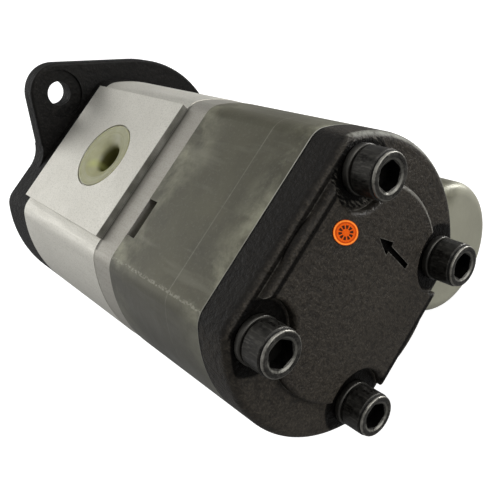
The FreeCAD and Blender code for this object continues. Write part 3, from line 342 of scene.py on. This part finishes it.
def grey_casting(name):
    """Dull olive-grey metal with oily clouds, chalky rubbed edges, a pale worn joint line, a painted
    highlight along the rear joint's edge, the boss painted lighter and painted shade on the sides facing
    +Y.
    """
    s = Shader(name)
    cloud = s.noise(20.0, detail=6.0, roughness=0.6, distortion=0.8)
    patch = s.noise(70.0, detail=5.0, roughness=0.65, distortion=0.5)
    speck = s.noise(900.0, detail=3.0, roughness=0.7)
    drag = s.noise(160.0, detail=3.0, vector=s.stretched(0.12, 1.0, 1.0))
    colour = s.clouds(cloud, 0.32, 0.72, (0.046, 0.0435, 0.029), (0.096, 0.091, 0.058))
    colour = s.over(colour, (0.100, 0.096, 0.066), s.ramp(patch, 0.35, 0.65, 0.0, 0.55))
    colour = s.over(colour, (0.055, 0.051, 0.040), s.ramp(patch, 0.60, 0.80, 0.0, 0.45))
    colour = s.over(colour, (0.20, 0.195, 0.150), s.ramp(drag, 0.54, 0.70, 0.0, 0.38))
    colour = s.over(colour, (0.17, 0.165, 0.14), s.ramp(speck, 0.55, 0.75, 0.0, 0.35))

    x = s.axis("X")
    joint, front = (end.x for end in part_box("intermediate_housing"))
    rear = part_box("rear_gear_housing")[0].x
    smudge = s.ramp(s.noise(48.0, detail=6.0, roughness=0.66, distortion=0.25), 0.46, 0.66)
    broken = s.ramp(patch, 0.3, 0.6, 0.5, 1.0)
    for plane, reach in ((front, 0.020), (rear, 0.014)):
        close = s.ramp(s.math("ABSOLUTE", s.math("SUBTRACT", x, plane)), reach, 0.001)
        colour = s.over(colour, (0.28, 0.277, 0.20), close, smudge, broken)
    chipped = s.ramp(s.noise(260.0, detail=3.0), 0.40, 0.60, 0.15, 1.0)
    colour = s.over(colour, (0.26, 0.255, 0.21), s.near(x, joint, 0.00042, 0.4), chipped, 0.12)
    # Painted highlight: a pale line along the edge at the rear joint, brightest on the upper side, where
    # the edge catches the light.
    upper = s.ramp(s.axis("Y"), 0.03, -0.02, 0.25, 1.0)
    colour = s.over(colour, (0.46, 0.455, 0.40), s.near(x, rear, 0.00048, 0.3), upper)
    rubbed = s.ramp(patch, 0.3, 0.6, 0.05, 0.35)
    colour = s.over(colour, (0.30, 0.295, 0.25), s.edge_wear(0.0006), rubbed)

    # Painted light: the boss is painted lighter than the rest of the casting, for the light it catches.
    boss = s.ramp(s.axis("Z"), -0.040, -0.048)
    colour = s.over(colour, (0.26, 0.255, 0.20), boss, 0.85)
    # Painted shade: surfaces facing +Y, off the boss, are painted darker.
    shaded_side = s.ramp(s.normal_axis("Y"), 0.25, 0.90, 0.0, 0.60)
    colour = s.over(colour, (0.040, 0.038, 0.028), shaded_side, s.ramp(boss, 1.0, 0.0))
    corner = BODY_MIDDLE_Y + math.sqrt(BODY_RADIUS**2 - BODY_FLAT**2) - 0.0020
    on_corner = s.near(s.axis("Y"), corner, 0.0008)
    under_flat = s.near(s.axis("Z"), BODY_FLAT - 0.0004, 0.0012)
    chalk = s.ramp(speck, 0.46, 0.56)
    colour = s.over(colour, (0.32, 0.315, 0.25), on_corner, under_flat, chalk, 0.45)

    s.set(Base_Color=colour, Metallic=0.35, Roughness=s.ramp(patch, 0.3, 0.75, 0.36, 0.52))
    fine = s.bump(speck, 0.00007, 0.5)
    s.set(Normal=s.bump(patch, 0.0004, 0.25, fine))
    return s.material


def bare_aluminium(name):
    """Extruded body with faint drawing lines, a milled pad, a darker shoulder behind it, painted shade
    on the pad's rear wall and a painted shadow along that wall's foot.
    """
    s = Shader(name)
    lines = s.noise(1200.0, detail=3.0, vector=s.stretched(0.05, 1.0, 1.0))
    mill = s.noise(1100.0, detail=3.0, vector=s.stretched(1.0, 0.25, 1.0, (0.0, 0.0, 0.6)))
    cloud = s.noise(30.0, detail=5.0)
    speck = s.noise(1500.0, detail=3.0, roughness=0.7)
    x, z = s.axis("X"), s.axis("Z")
    on_pad = s.ramp(z, PAD_TOP - 0.0005, PAD_TOP - 0.0002)
    texture = s.mix(on_pad, lines, mill)
    colour = s.clouds(cloud, 0.3, 0.75, (0.60, 0.585, 0.53), (0.68, 0.665, 0.605))
    colour = s.over(colour, (0.47, 0.46, 0.41), s.ramp(speck, 0.48, 0.66, 0.0, 0.7))

    # Painted shade: the pad's rear wall is painted dark, mottled a little, and made less metallic below.
    wall = s.all_of(
        s.ramp(x, PAD_REAR + 0.0004, PAD_REAR),
        s.near(z, PAD_WALL_MIDDLE, 0.0015, 0.05),
        s.ramp(s.normal_axis("X"), -0.5, -0.9),
    )
    wall_shade_mottle = s.ramp(s.noise(120.0, detail=4.0), 0.3, 0.7, 0.75, 1.0)
    colour = s.over(colour, (0.040, 0.038, 0.026), wall, wall_shade_mottle)
    shoulder = s.ramp(x, PAD_REAR + 0.0002, PAD_REAR - 0.0006)
    from_wall = s.math("ABSOLUTE", s.math("SUBTRACT", x, PAD_REAR))
    at_foot = s.near(z, BODY_FLAT - 0.00015, 0.0004)
    # Painted shadow along the foot of the pad's rear wall, fading away from it.
    painted_foot_shadow = (0.05, 0.048, 0.040)
    colour = s.over(colour, painted_foot_shadow, s.ramp(from_wall, 0.0020, 0.0002), at_foot, shoulder, 0.9)
    colour = s.mix(shoulder, colour, (0.62, 0.61, 0.60), "MULTIPLY")

    metal = s.ramp(wall, 0.0, 1.0, 0.9, 0.05)
    s.set(Base_Color=colour, Metallic=metal, Roughness=s.ramp(texture, 0.3, 0.75, 0.46, 0.60))
    s.set(Normal=s.bump(texture, 0.00003, 0.35))
    return s.material


def black_oxide(name):
    """Blackened steel, polished bright by keys and handling on the edges."""
    s = Shader(name)
    cloud = s.noise(160.0, detail=5.0)
    grain = s.noise(2600.0, detail=3.0)
    colour = s.clouds(cloud, 0.35, 0.7, (0.022, 0.021, 0.018), (0.060, 0.057, 0.050))
    wear_and_highlight_share = s.ramp(cloud, 0.3, 0.6, 0.35, 0.95)
    colour = s.over(colour, (0.33, 0.32, 0.28), s.edge_wear(0.0005), wear_and_highlight_share)
    s.set(Base_Color=colour, Metallic=0.7, Roughness=s.ramp(cloud, 0.3, 0.7, 0.28, 0.46))
    s.set(Normal=s.bump(grain, 0.00003, 0.5))
    return s.material


def turned_metal(name, dark, light, roughness, line_scale, line_squash, cloud_scale, cloud_detail):
    """Turned or ground metal with fine circumferential lines; roughness is a pair of ends."""
    s = Shader(name)
    lines = s.noise(line_scale, detail=3.0, vector=s.stretched(1.0, line_squash, line_squash))
    cloud = s.noise(cloud_scale, detail=cloud_detail)
    colour = s.clouds(cloud, 0.3, 0.7, dark, light)
    s.set(Base_Color=colour, Metallic=1.0, Roughness=s.ramp(lines, 0.3, 0.7, *roughness))
    s.set(Normal=s.bump(lines, 0.00002, 0.5))
    return s.material


def ground_steel(name, shade=0.55):
    """Ground steel of a given brightness."""
    dark, light = (shade * 0.8,) * 3, (shade, shade * 0.99, shade * 0.96)
    lines = {"line_scale": 1800.0, "line_squash": 0.03}
    return turned_metal(name, dark, light, (0.16, 0.32), cloud_scale=60.0, cloud_detail=4.0, **lines)


def bronze(name):
    """Bearing bronze, turned."""
    dark, light = (0.42, 0.27, 0.11), (0.58, 0.40, 0.18)
    lines = {"line_scale": 1500.0, "line_squash": 0.05}
    return turned_metal(name, dark, light, (0.25, 0.42), cloud_scale=90.0, cloud_detail=5.0, **lines)


def black_rubber(name):
    """Seal rubber with a little dust on it."""
    s = Shader(name)
    dust = s.noise(350.0, detail=5.0, roughness=0.7)
    colour = s.clouds(dust, 0.45, 0.8, (0.014, 0.014, 0.014), (0.045, 0.043, 0.040))
    s.set(Base_Color=colour, Roughness=s.ramp(dust, 0.3, 0.7, 0.55, 0.75))
    s.set(Normal=s.bump(dust, 0.00005, 0.4))
    return s.material


def plug_plastic(name):
    """Soft translucent polythene, yellow-green, with painted shade darkening it down its throat and a
    painted spot of light in its cup.
    """
    s = Shader(name)
    radius = s.around((0.0, 0.0), ("X", "Y"))
    rings = s.math("SINE", s.math("MULTIPLY", radius, 5200.0))
    cloud = s.noise(160.0, detail=4.0)
    colour = s.clouds(cloud, 0.3, 0.7, (0.30, 0.295, 0.165), (0.38, 0.375, 0.235))
    # Painted shade: darker down the throat.
    colour = s.over(colour, (0.075, 0.072, 0.016), s.ramp(s.axis("Z"), -0.0022, -0.0048))
    # Painted light: a soft yellow-green spot of light inside the cup.
    from_light_spot = s.around((0.0060, 0.0045), ("X", "Y"))
    colour = s.over(colour, (0.44, 0.47, 0.15), s.ramp(from_light_spot, 0.0030, 0.0004), 0.55)
    colour = s.over(colour, (0.20, 0.20, 0.10), s.near(radius, 0.0113, 0.0004), 0.35)
    s.set(Base_Color=colour, Roughness=s.ramp(cloud, 0.3, 0.7, 0.32, 0.44))
    s.set(Subsurface_Weight=0.35, Subsurface_Scale=0.002, Subsurface_Radius=(1.0, 0.95, 0.45))
    s.set(Normal=s.bump(rings, 0.00003, 0.2))
    return s.material


def orange_label(name):
    """Oval orange sticker with a pale rim line, a thin ring and a plain ring of ten dark marks."""
    s = Shader(name)
    low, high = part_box("cover_label")
    centre = (low + high) / 2
    lean = math.radians(74.0)
    long_half, short_half = 0.0062, 0.0040
    mark_count = 10.0
    y = s.math("SUBTRACT", s.axis("Y"), centre.y)
    z = s.math("SUBTRACT", s.axis("Z"), centre.z)

    def along(y_share, z_share, half):
        total = s.math("ADD", s.math("MULTIPLY", y, y_share), s.math("MULTIPLY", z, z_share))
        return s.math("DIVIDE", total, half)

    u = along(math.cos(lean), math.sin(lean), long_half)
    v = along(-math.sin(lean), math.cos(lean), short_half)
    radius = s.math("SQRT", s.math("ADD", s.math("MULTIPLY", u, u), s.math("MULTIPLY", v, v)))
    turns = s.math("MULTIPLY", s.math("ARCTAN2", v, u), mark_count)
    marks = s.ramp(s.math("SINE", turns), -0.70, -0.25)
    grain = s.noise(1500.0, detail=3.0)
    colour = s.clouds(grain, 0.3, 0.7, (0.60, 0.076, 0.002), (0.69, 0.098, 0.003))
    colour = s.over(colour, (0.90, 0.26, 0.035), s.near(radius, 0.90, 0.06))
    colour = s.over(colour, (0.33, 0.03, 0.002), s.near(radius, 0.76, 0.045), 0.8)
    colour = s.over(colour, (0.06, 0.012, 0.004), s.ramp(radius, 0.965, 0.99))
    colour = s.over(colour, (0.030, 0.010, 0.005), s.near(radius, 0.44, 0.17, 0.3), marks)
    s.set(Base_Color=colour, Roughness=s.ramp(grain, 0.3, 0.7, 0.50, 0.62), Specular_IOR_Level=0.08)
    s.set(Normal=s.bump(grain, 0.00002, 0.3))
    return s.material


def screw_steel(name):
    """Blackened screw steel: a worn bright rim, a painted highlight on the countersink and painted shade
    in the groove under the rim.
    """
    s = Shader(name)
    height = s.axis("Z")
    radius = s.around((0.0, 0.0), ("X", "Y"))
    cloud = s.noise(420.0, detail=4.0, roughness=0.65)
    smear = s.noise(1500.0, detail=3.0, vector=s.stretched(1.0, 1.0, 0.25))
    colour = s.clouds(cloud, 0.35, 0.7, (0.012, 0.0112, 0.0098), (0.042, 0.040, 0.035))
    colour = s.over(colour, (0.11, 0.106, 0.094), s.ramp(smear, 0.48, 0.70, 0.0, 0.45))
    on_top = s.ramp(height, 0.00895, 0.0091)
    rim = s.ramp(radius, 0.0071, 0.0075)
    colour = s.over(colour, (0.27, 0.26, 0.23), on_top, rim, s.ramp(cloud, 0.3, 0.6, 0.35, 1.0))
    # Painted highlight: the countersink is painted much lighter than the head.
    sink = s.near(radius, 0.0054, 0.00040, 0.4)
    colour = s.over(colour, (0.15, 0.146, 0.128), on_top, sink, s.ramp(cloud, 0.3, 0.6, 0.3, 0.9))
    # Painted shade: the groove under the rim is painted near black, matte and not metallic.
    groove = s.all_of(s.near(height, 0.00868, 0.00034, 0.4), s.ramp(radius, 0.0060, 0.0062))
    colour = s.over(colour, JOINT_AND_SHADE_BLACK, groove, 0.8)
    s.set(Base_Color=colour, Metallic=s.ramp(groove, 0.0, 1.0, 0.75, 0.0))
    s.set(Roughness=s.ramp(s.math("MAXIMUM", cloud, groove), 0.3, 1.0, 0.20, 0.95))
    s.set(Normal=s.bump(cloud, 0.00005, 0.5))
    return s.material


def socket_shadow(name):
    """Oily black inside the key sockets, which hardly any light reaches."""
    s = Shader(name)
    film = s.noise(700.0, detail=3.0)
    colour = s.clouds(film, 0.3, 0.7, (0.0010, 0.0009, 0.0008), (0.0030, 0.0028, 0.0024))
    s.set(Base_Color=colour, Roughness=s.ramp(film, 0.3, 0.7, 0.7, 0.9), Specular_IOR_Level=0.03)
    return s.material


def floor_paper(name):
    """White studio paper that glows a little, so that it stays white without lighting the object."""
    s = Shader(name)
    fibre = s.noise(300.0, detail=5.0)
    colour = s.clouds(fibre, 0.3, 0.7, (0.50, 0.50, 0.50), (0.53, 0.53, 0.53))
    s.set(Base_Color=colour, Roughness=0.9, Specular_IOR_Level=0.1)
    s.set(Emission_Color=(1.0, 1.0, 1.0, 1.0), Emission_Strength=0.88)
    return s.material


# ---------------------------------------------------------------- detailed screws, washers and plug

SCREW_SEGMENTS = 144
SHANK_RADIUS = 0.0050
SHANK_CHAMFER = 0.0008
HEAD_RADIUS = 0.0080
HEAD_HEIGHT = 0.0100
KEY_HALF = 0.0045
KEY_CORNER = 0.0049
KEY_BOTTOM = 0.0034
KNURL_HEIGHT = (0.0015, 0.0078)
KNURL_DEPTH = 0.00011
KNURL_FADE = 0.0005
WASHER_RADIUS = 0.0083
WASHER_BORE = 0.0053
ROUND_SEGMENTS = 96

# Rows of (radius, height): the head's undercut foot, then its crown from the knurl to the countersink.
HEAD_FOOT = [(0.0052, 0.0), (0.0068, 0.0), (0.0070, 0.0001), (0.0073, 0.0004), (0.0077, 0.0007)]
HEAD_FOOT += [(0.00793, 0.0010), (HEAD_RADIUS, 0.0013)]
HEAD_CROWN = [(0.00796, 0.00815), (0.00782, 0.00835), (0.00745, 0.00845), (0.00722, 0.00855)]
HEAD_CROWN += [(0.00722, 0.00880), (0.00740, 0.00890), (0.00756, 0.00904), (0.00763, 0.00924)]
HEAD_CROWN += [(0.00764, 0.00945), (0.00758, 0.00966), (0.00744, 0.00984), (0.00722, 0.00996)]
HEAD_CROWN += [(0.00695, HEAD_HEIGHT), (0.00650, 0.00996), (0.00600, 0.00994), (0.00570, 0.00988)]
HEAD_CROWN += [(0.00556, 0.00976)]

# Rows of (shrink, height) down the key socket's wall; the first two lie on the countersink.
KEY_LEVELS = [(0.00002, 0.00925), (0.0, 0.00915), (0.0001, 0.0046), (0.0003, 0.0044)]
KEY_SHADOW_HEIGHT = 0.0092

# Rows of (radius, height) from the plug's closed end, over its rim and down its throat.
PLUG_PROFILE = [(0.0100, -0.0119), (0.0102, -0.0115), (0.0116, -0.0016), (0.0144, -0.0014)]
PLUG_PROFILE += [(0.0146, -0.0011), (0.0146, -0.0004), (0.0145, -0.0001), (0.0142, 0.0)]
PLUG_PROFILE += [(0.0138, -0.00012), (0.0136, -0.00022), (0.0112, -0.00022), (0.0106, -0.00030)]
PLUG_PROFILE += [(0.0102, -0.00050), (0.0094, -0.0008), (0.0084, -0.0013), (0.0075, -0.0018)]
PLUG_PROFILE += [(0.0067, -0.0025), (0.0061, -0.0036), (0.0058, -0.0062), (0.0055, -0.0102)]
PLUG_OUTER_END = -0.0120
PLUG_INNER_END = -0.0104


def ring_of(shape, count, height, radius_at):
    """A ring of vertices round Z; radius_at(i, angle) is the i-th one's radius."""
    ring = []
    for i in range(count):
        angle = 2 * math.pi * i / count
        radius = radius_at(i, angle)
        ring.append(shape.verts.new((radius * math.cos(angle), radius * math.sin(angle), height)))
    return ring


def join_rings(shape, low, high, material=0):
    """A band of faces between two rings of as many vertices."""
    for i in range(len(low)):
        j = (i + 1) % len(low)
        shape.faces.new((low[i], low[j], high[j], high[i])).material_index = material


def close_ring(shape, ring, height, material=0):
    """A fan of triangles from a ring to a point on Z."""
    centre = shape.verts.new((0.0, 0.0, height))
    for i, vertex in enumerate(ring):
        following = ring[(i + 1) % len(ring)]
        shape.faces.new((vertex, following, centre)).material_index = material


def lathe(shape, profile, segments, knurl=None):
    """Rings from (radius, height) rows, joined; knurl(height, i) adds to the i-th radius."""

    def radius_rule(radius, height):
        return lambda i, angle: radius + (knurl(height, i) if knurl else 0.0)

    rings = [ring_of(shape, segments, height, radius_rule(radius, height)) for radius, height in profile]
    for low, high in zip(rings, rings[1:]):
        join_rings(shape, low, high)
    return rings


def finished(shape, name):
    """The mesh of a shape, smooth but for its sharp edges."""
    bmesh.ops.recalc_face_normals(shape, faces=shape.faces)
    for face in shape.faces:
        face.smooth = True
    mesh = bpy.data.meshes.new(name)
    shape.to_mesh(mesh)
    shape.free()
    mesh.set_sharp_from_angle(angle=math.radians(38))
    return mesh


def head_knurl(height, i):
    """Fine straight ridges that run out at both ends of the knurled band."""
    low, high = KNURL_HEIGHT
    inside = max(0.0, min(1.0, (height - low) / KNURL_FADE, (high - height) / KNURL_FADE))
    return -KNURL_DEPTH * inside * (i % 2)


def hexagon_reach(angle, flat_half):
    """The distance to a hexagon's edge in a direction; flat_half is half its width across flats."""
    sector = (angle + math.pi / 6) % (math.pi / 3) - math.pi / 6
    return flat_half / math.cos(sector)


def screw_mesh(shank):
    """A socket head screw with its seat at height 0 and its head towards +Z."""
    shape = bmesh.new()
    profile = [(SHANK_RADIUS, -shank + SHANK_CHAMFER), (SHANK_RADIUS, -0.0002), *HEAD_FOOT]
    profile += [(HEAD_RADIUS, low / 10000) for low in range(16, 82, 5)]
    profile += HEAD_CROWN
    rings = lathe(shape, profile, SCREW_SEGMENTS, head_knurl)

    def key_rule(shrink):
        return lambda i, angle: min(hexagon_reach(angle + math.pi / 6, KEY_HALF) - shrink, KEY_CORNER)

    inner = rings[-1]
    for shrink, height in KEY_LEVELS:
        ring = ring_of(shape, SCREW_SEGMENTS, height, key_rule(shrink))
        join_rings(shape, inner, ring, material=0 if height > KEY_SHADOW_HEIGHT else 1)
        inner = ring
    close_ring(shape, inner, KEY_BOTTOM, material=1)
    close_ring(shape, rings[0], -shank)
    return finished(shape, "cap_screw")


def washer_mesh(thickness):
    """A plain washer with well rounded edges, one face at height 0."""
    shape = bmesh.new()
    ease = 0.0006
    profile = [(WASHER_BORE, ease), (WASHER_BORE + ease, 0.0)]
    steps = [math.radians(90 * k / 5) for k in range(6)]
    for height, side, angles in ((0.0, -1, steps), (thickness, 1, steps[::-1])):
        for angle in angles:
            radius = WASHER_RADIUS - ease + ease * math.sin(angle)
            profile.append((radius, height - side * ease * (1 - math.cos(angle))))
    profile += [(WASHER_BORE + ease, thickness), (WASHER_BORE, thickness - ease), (WASHER_BORE, ease)]
    lathe(shape, profile, ROUND_SEGMENTS)
    bmesh.ops.remove_doubles(shape, verts=shape.verts, dist=1e-7)
    return finished(shape, "washer")


def plug_mesh():
    """A push-in protector with its rim at height 0 and its bell-mouthed cup below."""
    shape = bmesh.new()
    rings = lathe(shape, PLUG_PROFILE, ROUND_SEGMENTS)
    close_ring(shape, rings[0], PLUG_OUTER_END)
    close_ring(shape, rings[-1], PLUG_INNER_END)
    return finished(shape, "port_plug")


def screw_seats():
    """The planes of the washers' two faces, and the four screw axes."""
    low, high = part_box("screw_washers")
    half_y = (high.y - low.y) / 2 - WASHER_RADIUS
    half_z = (high.z - low.z) / 2 - WASHER_RADIUS
    centre_y = (high.y + low.y) / 2
    spots = [(centre_y + y * half_y, z * half_z) for y in (-1, 1) for z in (1, -1)]
    return low.x, high.x, spots


def add_piece(label, mesh, node, place):
    """A detailed piece that stands for a CAD node and moves with the casing."""
    piece = bpy.data.objects.new(label, mesh)
    piece.matrix_world = place
    bpy.context.scene.collection.objects.link(piece)
    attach(piece, "casing")
    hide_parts(node)


def fit_screws():
    """Four screws and washers on their seats, each turned to an angle of its own."""
    seat, land, spots = screw_seats()
    screw = screw_mesh(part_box("cap_screws")[1].x - seat)
    screw.materials.append(screw_steel("screw_steel"))
    screw.materials.append(socket_shadow("socket_shadow"))
    washer = washer_mesh(land - seat)
    washer.materials.append(SLOT_MATERIALS["black_steel"])
    facing = Matrix.Rotation(-math.pi / 2, 4, "Y")
    for index, (y, z) in enumerate(spots, start=1):
        spin = Matrix.Rotation(math.radians(57.0 + 7.0 * index), 4, "Z")
        head = Matrix.Translation((seat, y, z)) @ facing @ spin
        ring = Matrix.Translation((land, y, z)) @ facing @ spin
        add_piece(f"cap_screw_{index}", screw, "cap_screws", head)
        add_piece(f"washer_{index}", washer, "screw_washers", ring)


def fit_plug():
    """The protector, pushed into the outlet port up to its rim."""
    low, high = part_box("port_plug")
    plug = plug_mesh()
    plug.materials.append(SLOT_MATERIALS["plug_plastic"])
    centre = (low + high) / 2
    place = Matrix.Translation((centre.x, centre.y, high.z))
    add_piece("moulded_plug", plug, "port_plug", place)


SLOT_MATERIALS = {
    "black_cast": shaded_flange_paint("shaded_flange_paint"),
    "grey_cast": grey_casting("grey_casting"),
    "bare_aluminium": bare_aluminium("bare_aluminium"),
    "black_steel": black_oxide("black_oxide"),
    "ground_steel": ground_steel("ground_steel"),
    "spring_steel": ground_steel("spring_steel", 0.12),
    "black_rubber": black_rubber("black_rubber"),
    "bronze": bronze("bronze"),
    "plug_plastic": plug_plastic("plug_plastic"),
    "orange_label": orange_label("orange_label"),
}

OWN_MATERIALS = {"rear_cover": cover_paint("cover_paint")}


def dress_nodes():
    """Gives every CAD node the material of its slot, or its own where it has one."""
    for part in frame["record"]["subparts"]:
        node = nodes[part["node"]]
        node.data.materials.clear()
        slot_material = SLOT_MATERIALS[part["material_slot"]]
        node.data.materials.append(OWN_MATERIALS.get(part["node"], slot_material))


dress_nodes()
fit_screws()
fit_plug()

# ---------------------------------------------------------------- stage, light and camera

FLOOR_SEGMENTS = 64
FLOOR_FLAT = 5.0
FLOOR_WALL = 6.0
FLOOR_SWEEP_STEPS = 8
FLOOR_GAP = 0.0005

CAMERA_PLACE = (-0.30886, 0.05232, 0.17648)
CAMERA_FORWARD = (0.72796, -0.12342, -0.67442)
CAMERA_UP = (0.28537, -0.83987, 0.46172)
CAMERA_LENS = 47.733
CAMERA_SENSOR = 36.0


def floor():
    """A pale floor that sweeps up into walls all round, well away from the object."""
    low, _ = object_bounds()
    shape = bmesh.new()
    sweep = FLOOR_WALL - FLOOR_FLAT
    profile = [(0.3, 0.0), (2.0, 0.0)]
    for step in range(FLOOR_SWEEP_STEPS + 1):
        angle = math.radians(90 * step / FLOOR_SWEEP_STEPS)
        profile.append((FLOOR_FLAT + sweep * math.sin(angle), sweep * (1 - math.cos(angle))))
    profile += [(FLOOR_WALL, 4.0), (FLOOR_WALL, 12.0)]
    rings = lathe(shape, profile, FLOOR_SEGMENTS)
    close_ring(shape, rings[0], 0.0)
    made = bpy.data.objects.new("floor", finished(shape, "floor"))
    made.location = (0.0, 0.0, low.z - FLOOR_GAP)
    made.data.materials.append(floor_paper("floor_paper"))
    bpy.context.scene.collection.objects.link(made)
    made.visible_diffuse = False
    made.visible_glossy = False
    made.visible_shadow = False
    made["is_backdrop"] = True


def sun(name, toward, strength, spread):
    """A broad, even light from a direction, as from a large soft box; spread is in degrees."""
    data = bpy.data.lights.new(name, "SUN")
    data.energy = strength
    data.angle = math.radians(spread)
    lamp = bpy.data.objects.new(name, data)
    direction = Vector(toward).normalized()
    lamp.location = direction
    lamp.rotation_mode = "QUATERNION"
    lamp.rotation_quaternion = direction.to_track_quat("Z", "Y")
    bpy.context.scene.collection.objects.link(lamp)


def lights():
    """Soft light from all round, one narrower lamp for highlights, and a dim white surround."""
    sun("key", (-0.25, -0.80, 0.55), 1.0, 90.0)
    sun("overhead", (-0.2, 0.0, 1.0), 0.5, 80.0)
    sun("front", (0.88, 0.10, 0.44), 0.56, 46.0)
    sun("rear", (-0.92, -0.42, 0.06), 2.2, 45.0)
    sun("side", (0.78, 0.55, 0.30), 0.42, 70.0)
    sun("glint", (-0.15, -0.94, -0.26), 2.3, 14.0)
    world = bpy.data.worlds.new("studio")
    world.use_nodes = True
    background = world.node_tree.nodes["Background"]
    background.inputs["Color"].default_value = (1.0, 1.0, 1.0, 1.0)
    background.inputs["Strength"].default_value = 0.30
    bpy.context.scene.world = world
    bpy.context.scene.view_settings.view_transform = "Standard"


def camera():
    """A close viewpoint behind the rear cover and above the outlet pad, tilted."""
    forward = Vector(CAMERA_FORWARD).normalized()
    right = forward.cross(Vector(CAMERA_UP)).normalized()
    up = right.cross(forward)
    data = bpy.data.cameras.new("camera")
    data.sensor_width = CAMERA_SENSOR
    data.lens = CAMERA_LENS
    data.clip_start = 0.01
    viewer = bpy.data.objects.new("camera", data)
    turn = Matrix((right, up, -forward)).transposed().to_4x4()
    viewer.matrix_world = Matrix.Translation(CAMERA_PLACE) @ turn
    bpy.context.scene.collection.objects.link(viewer)
    bpy.context.scene.camera = viewer


floor()
lights()
camera()
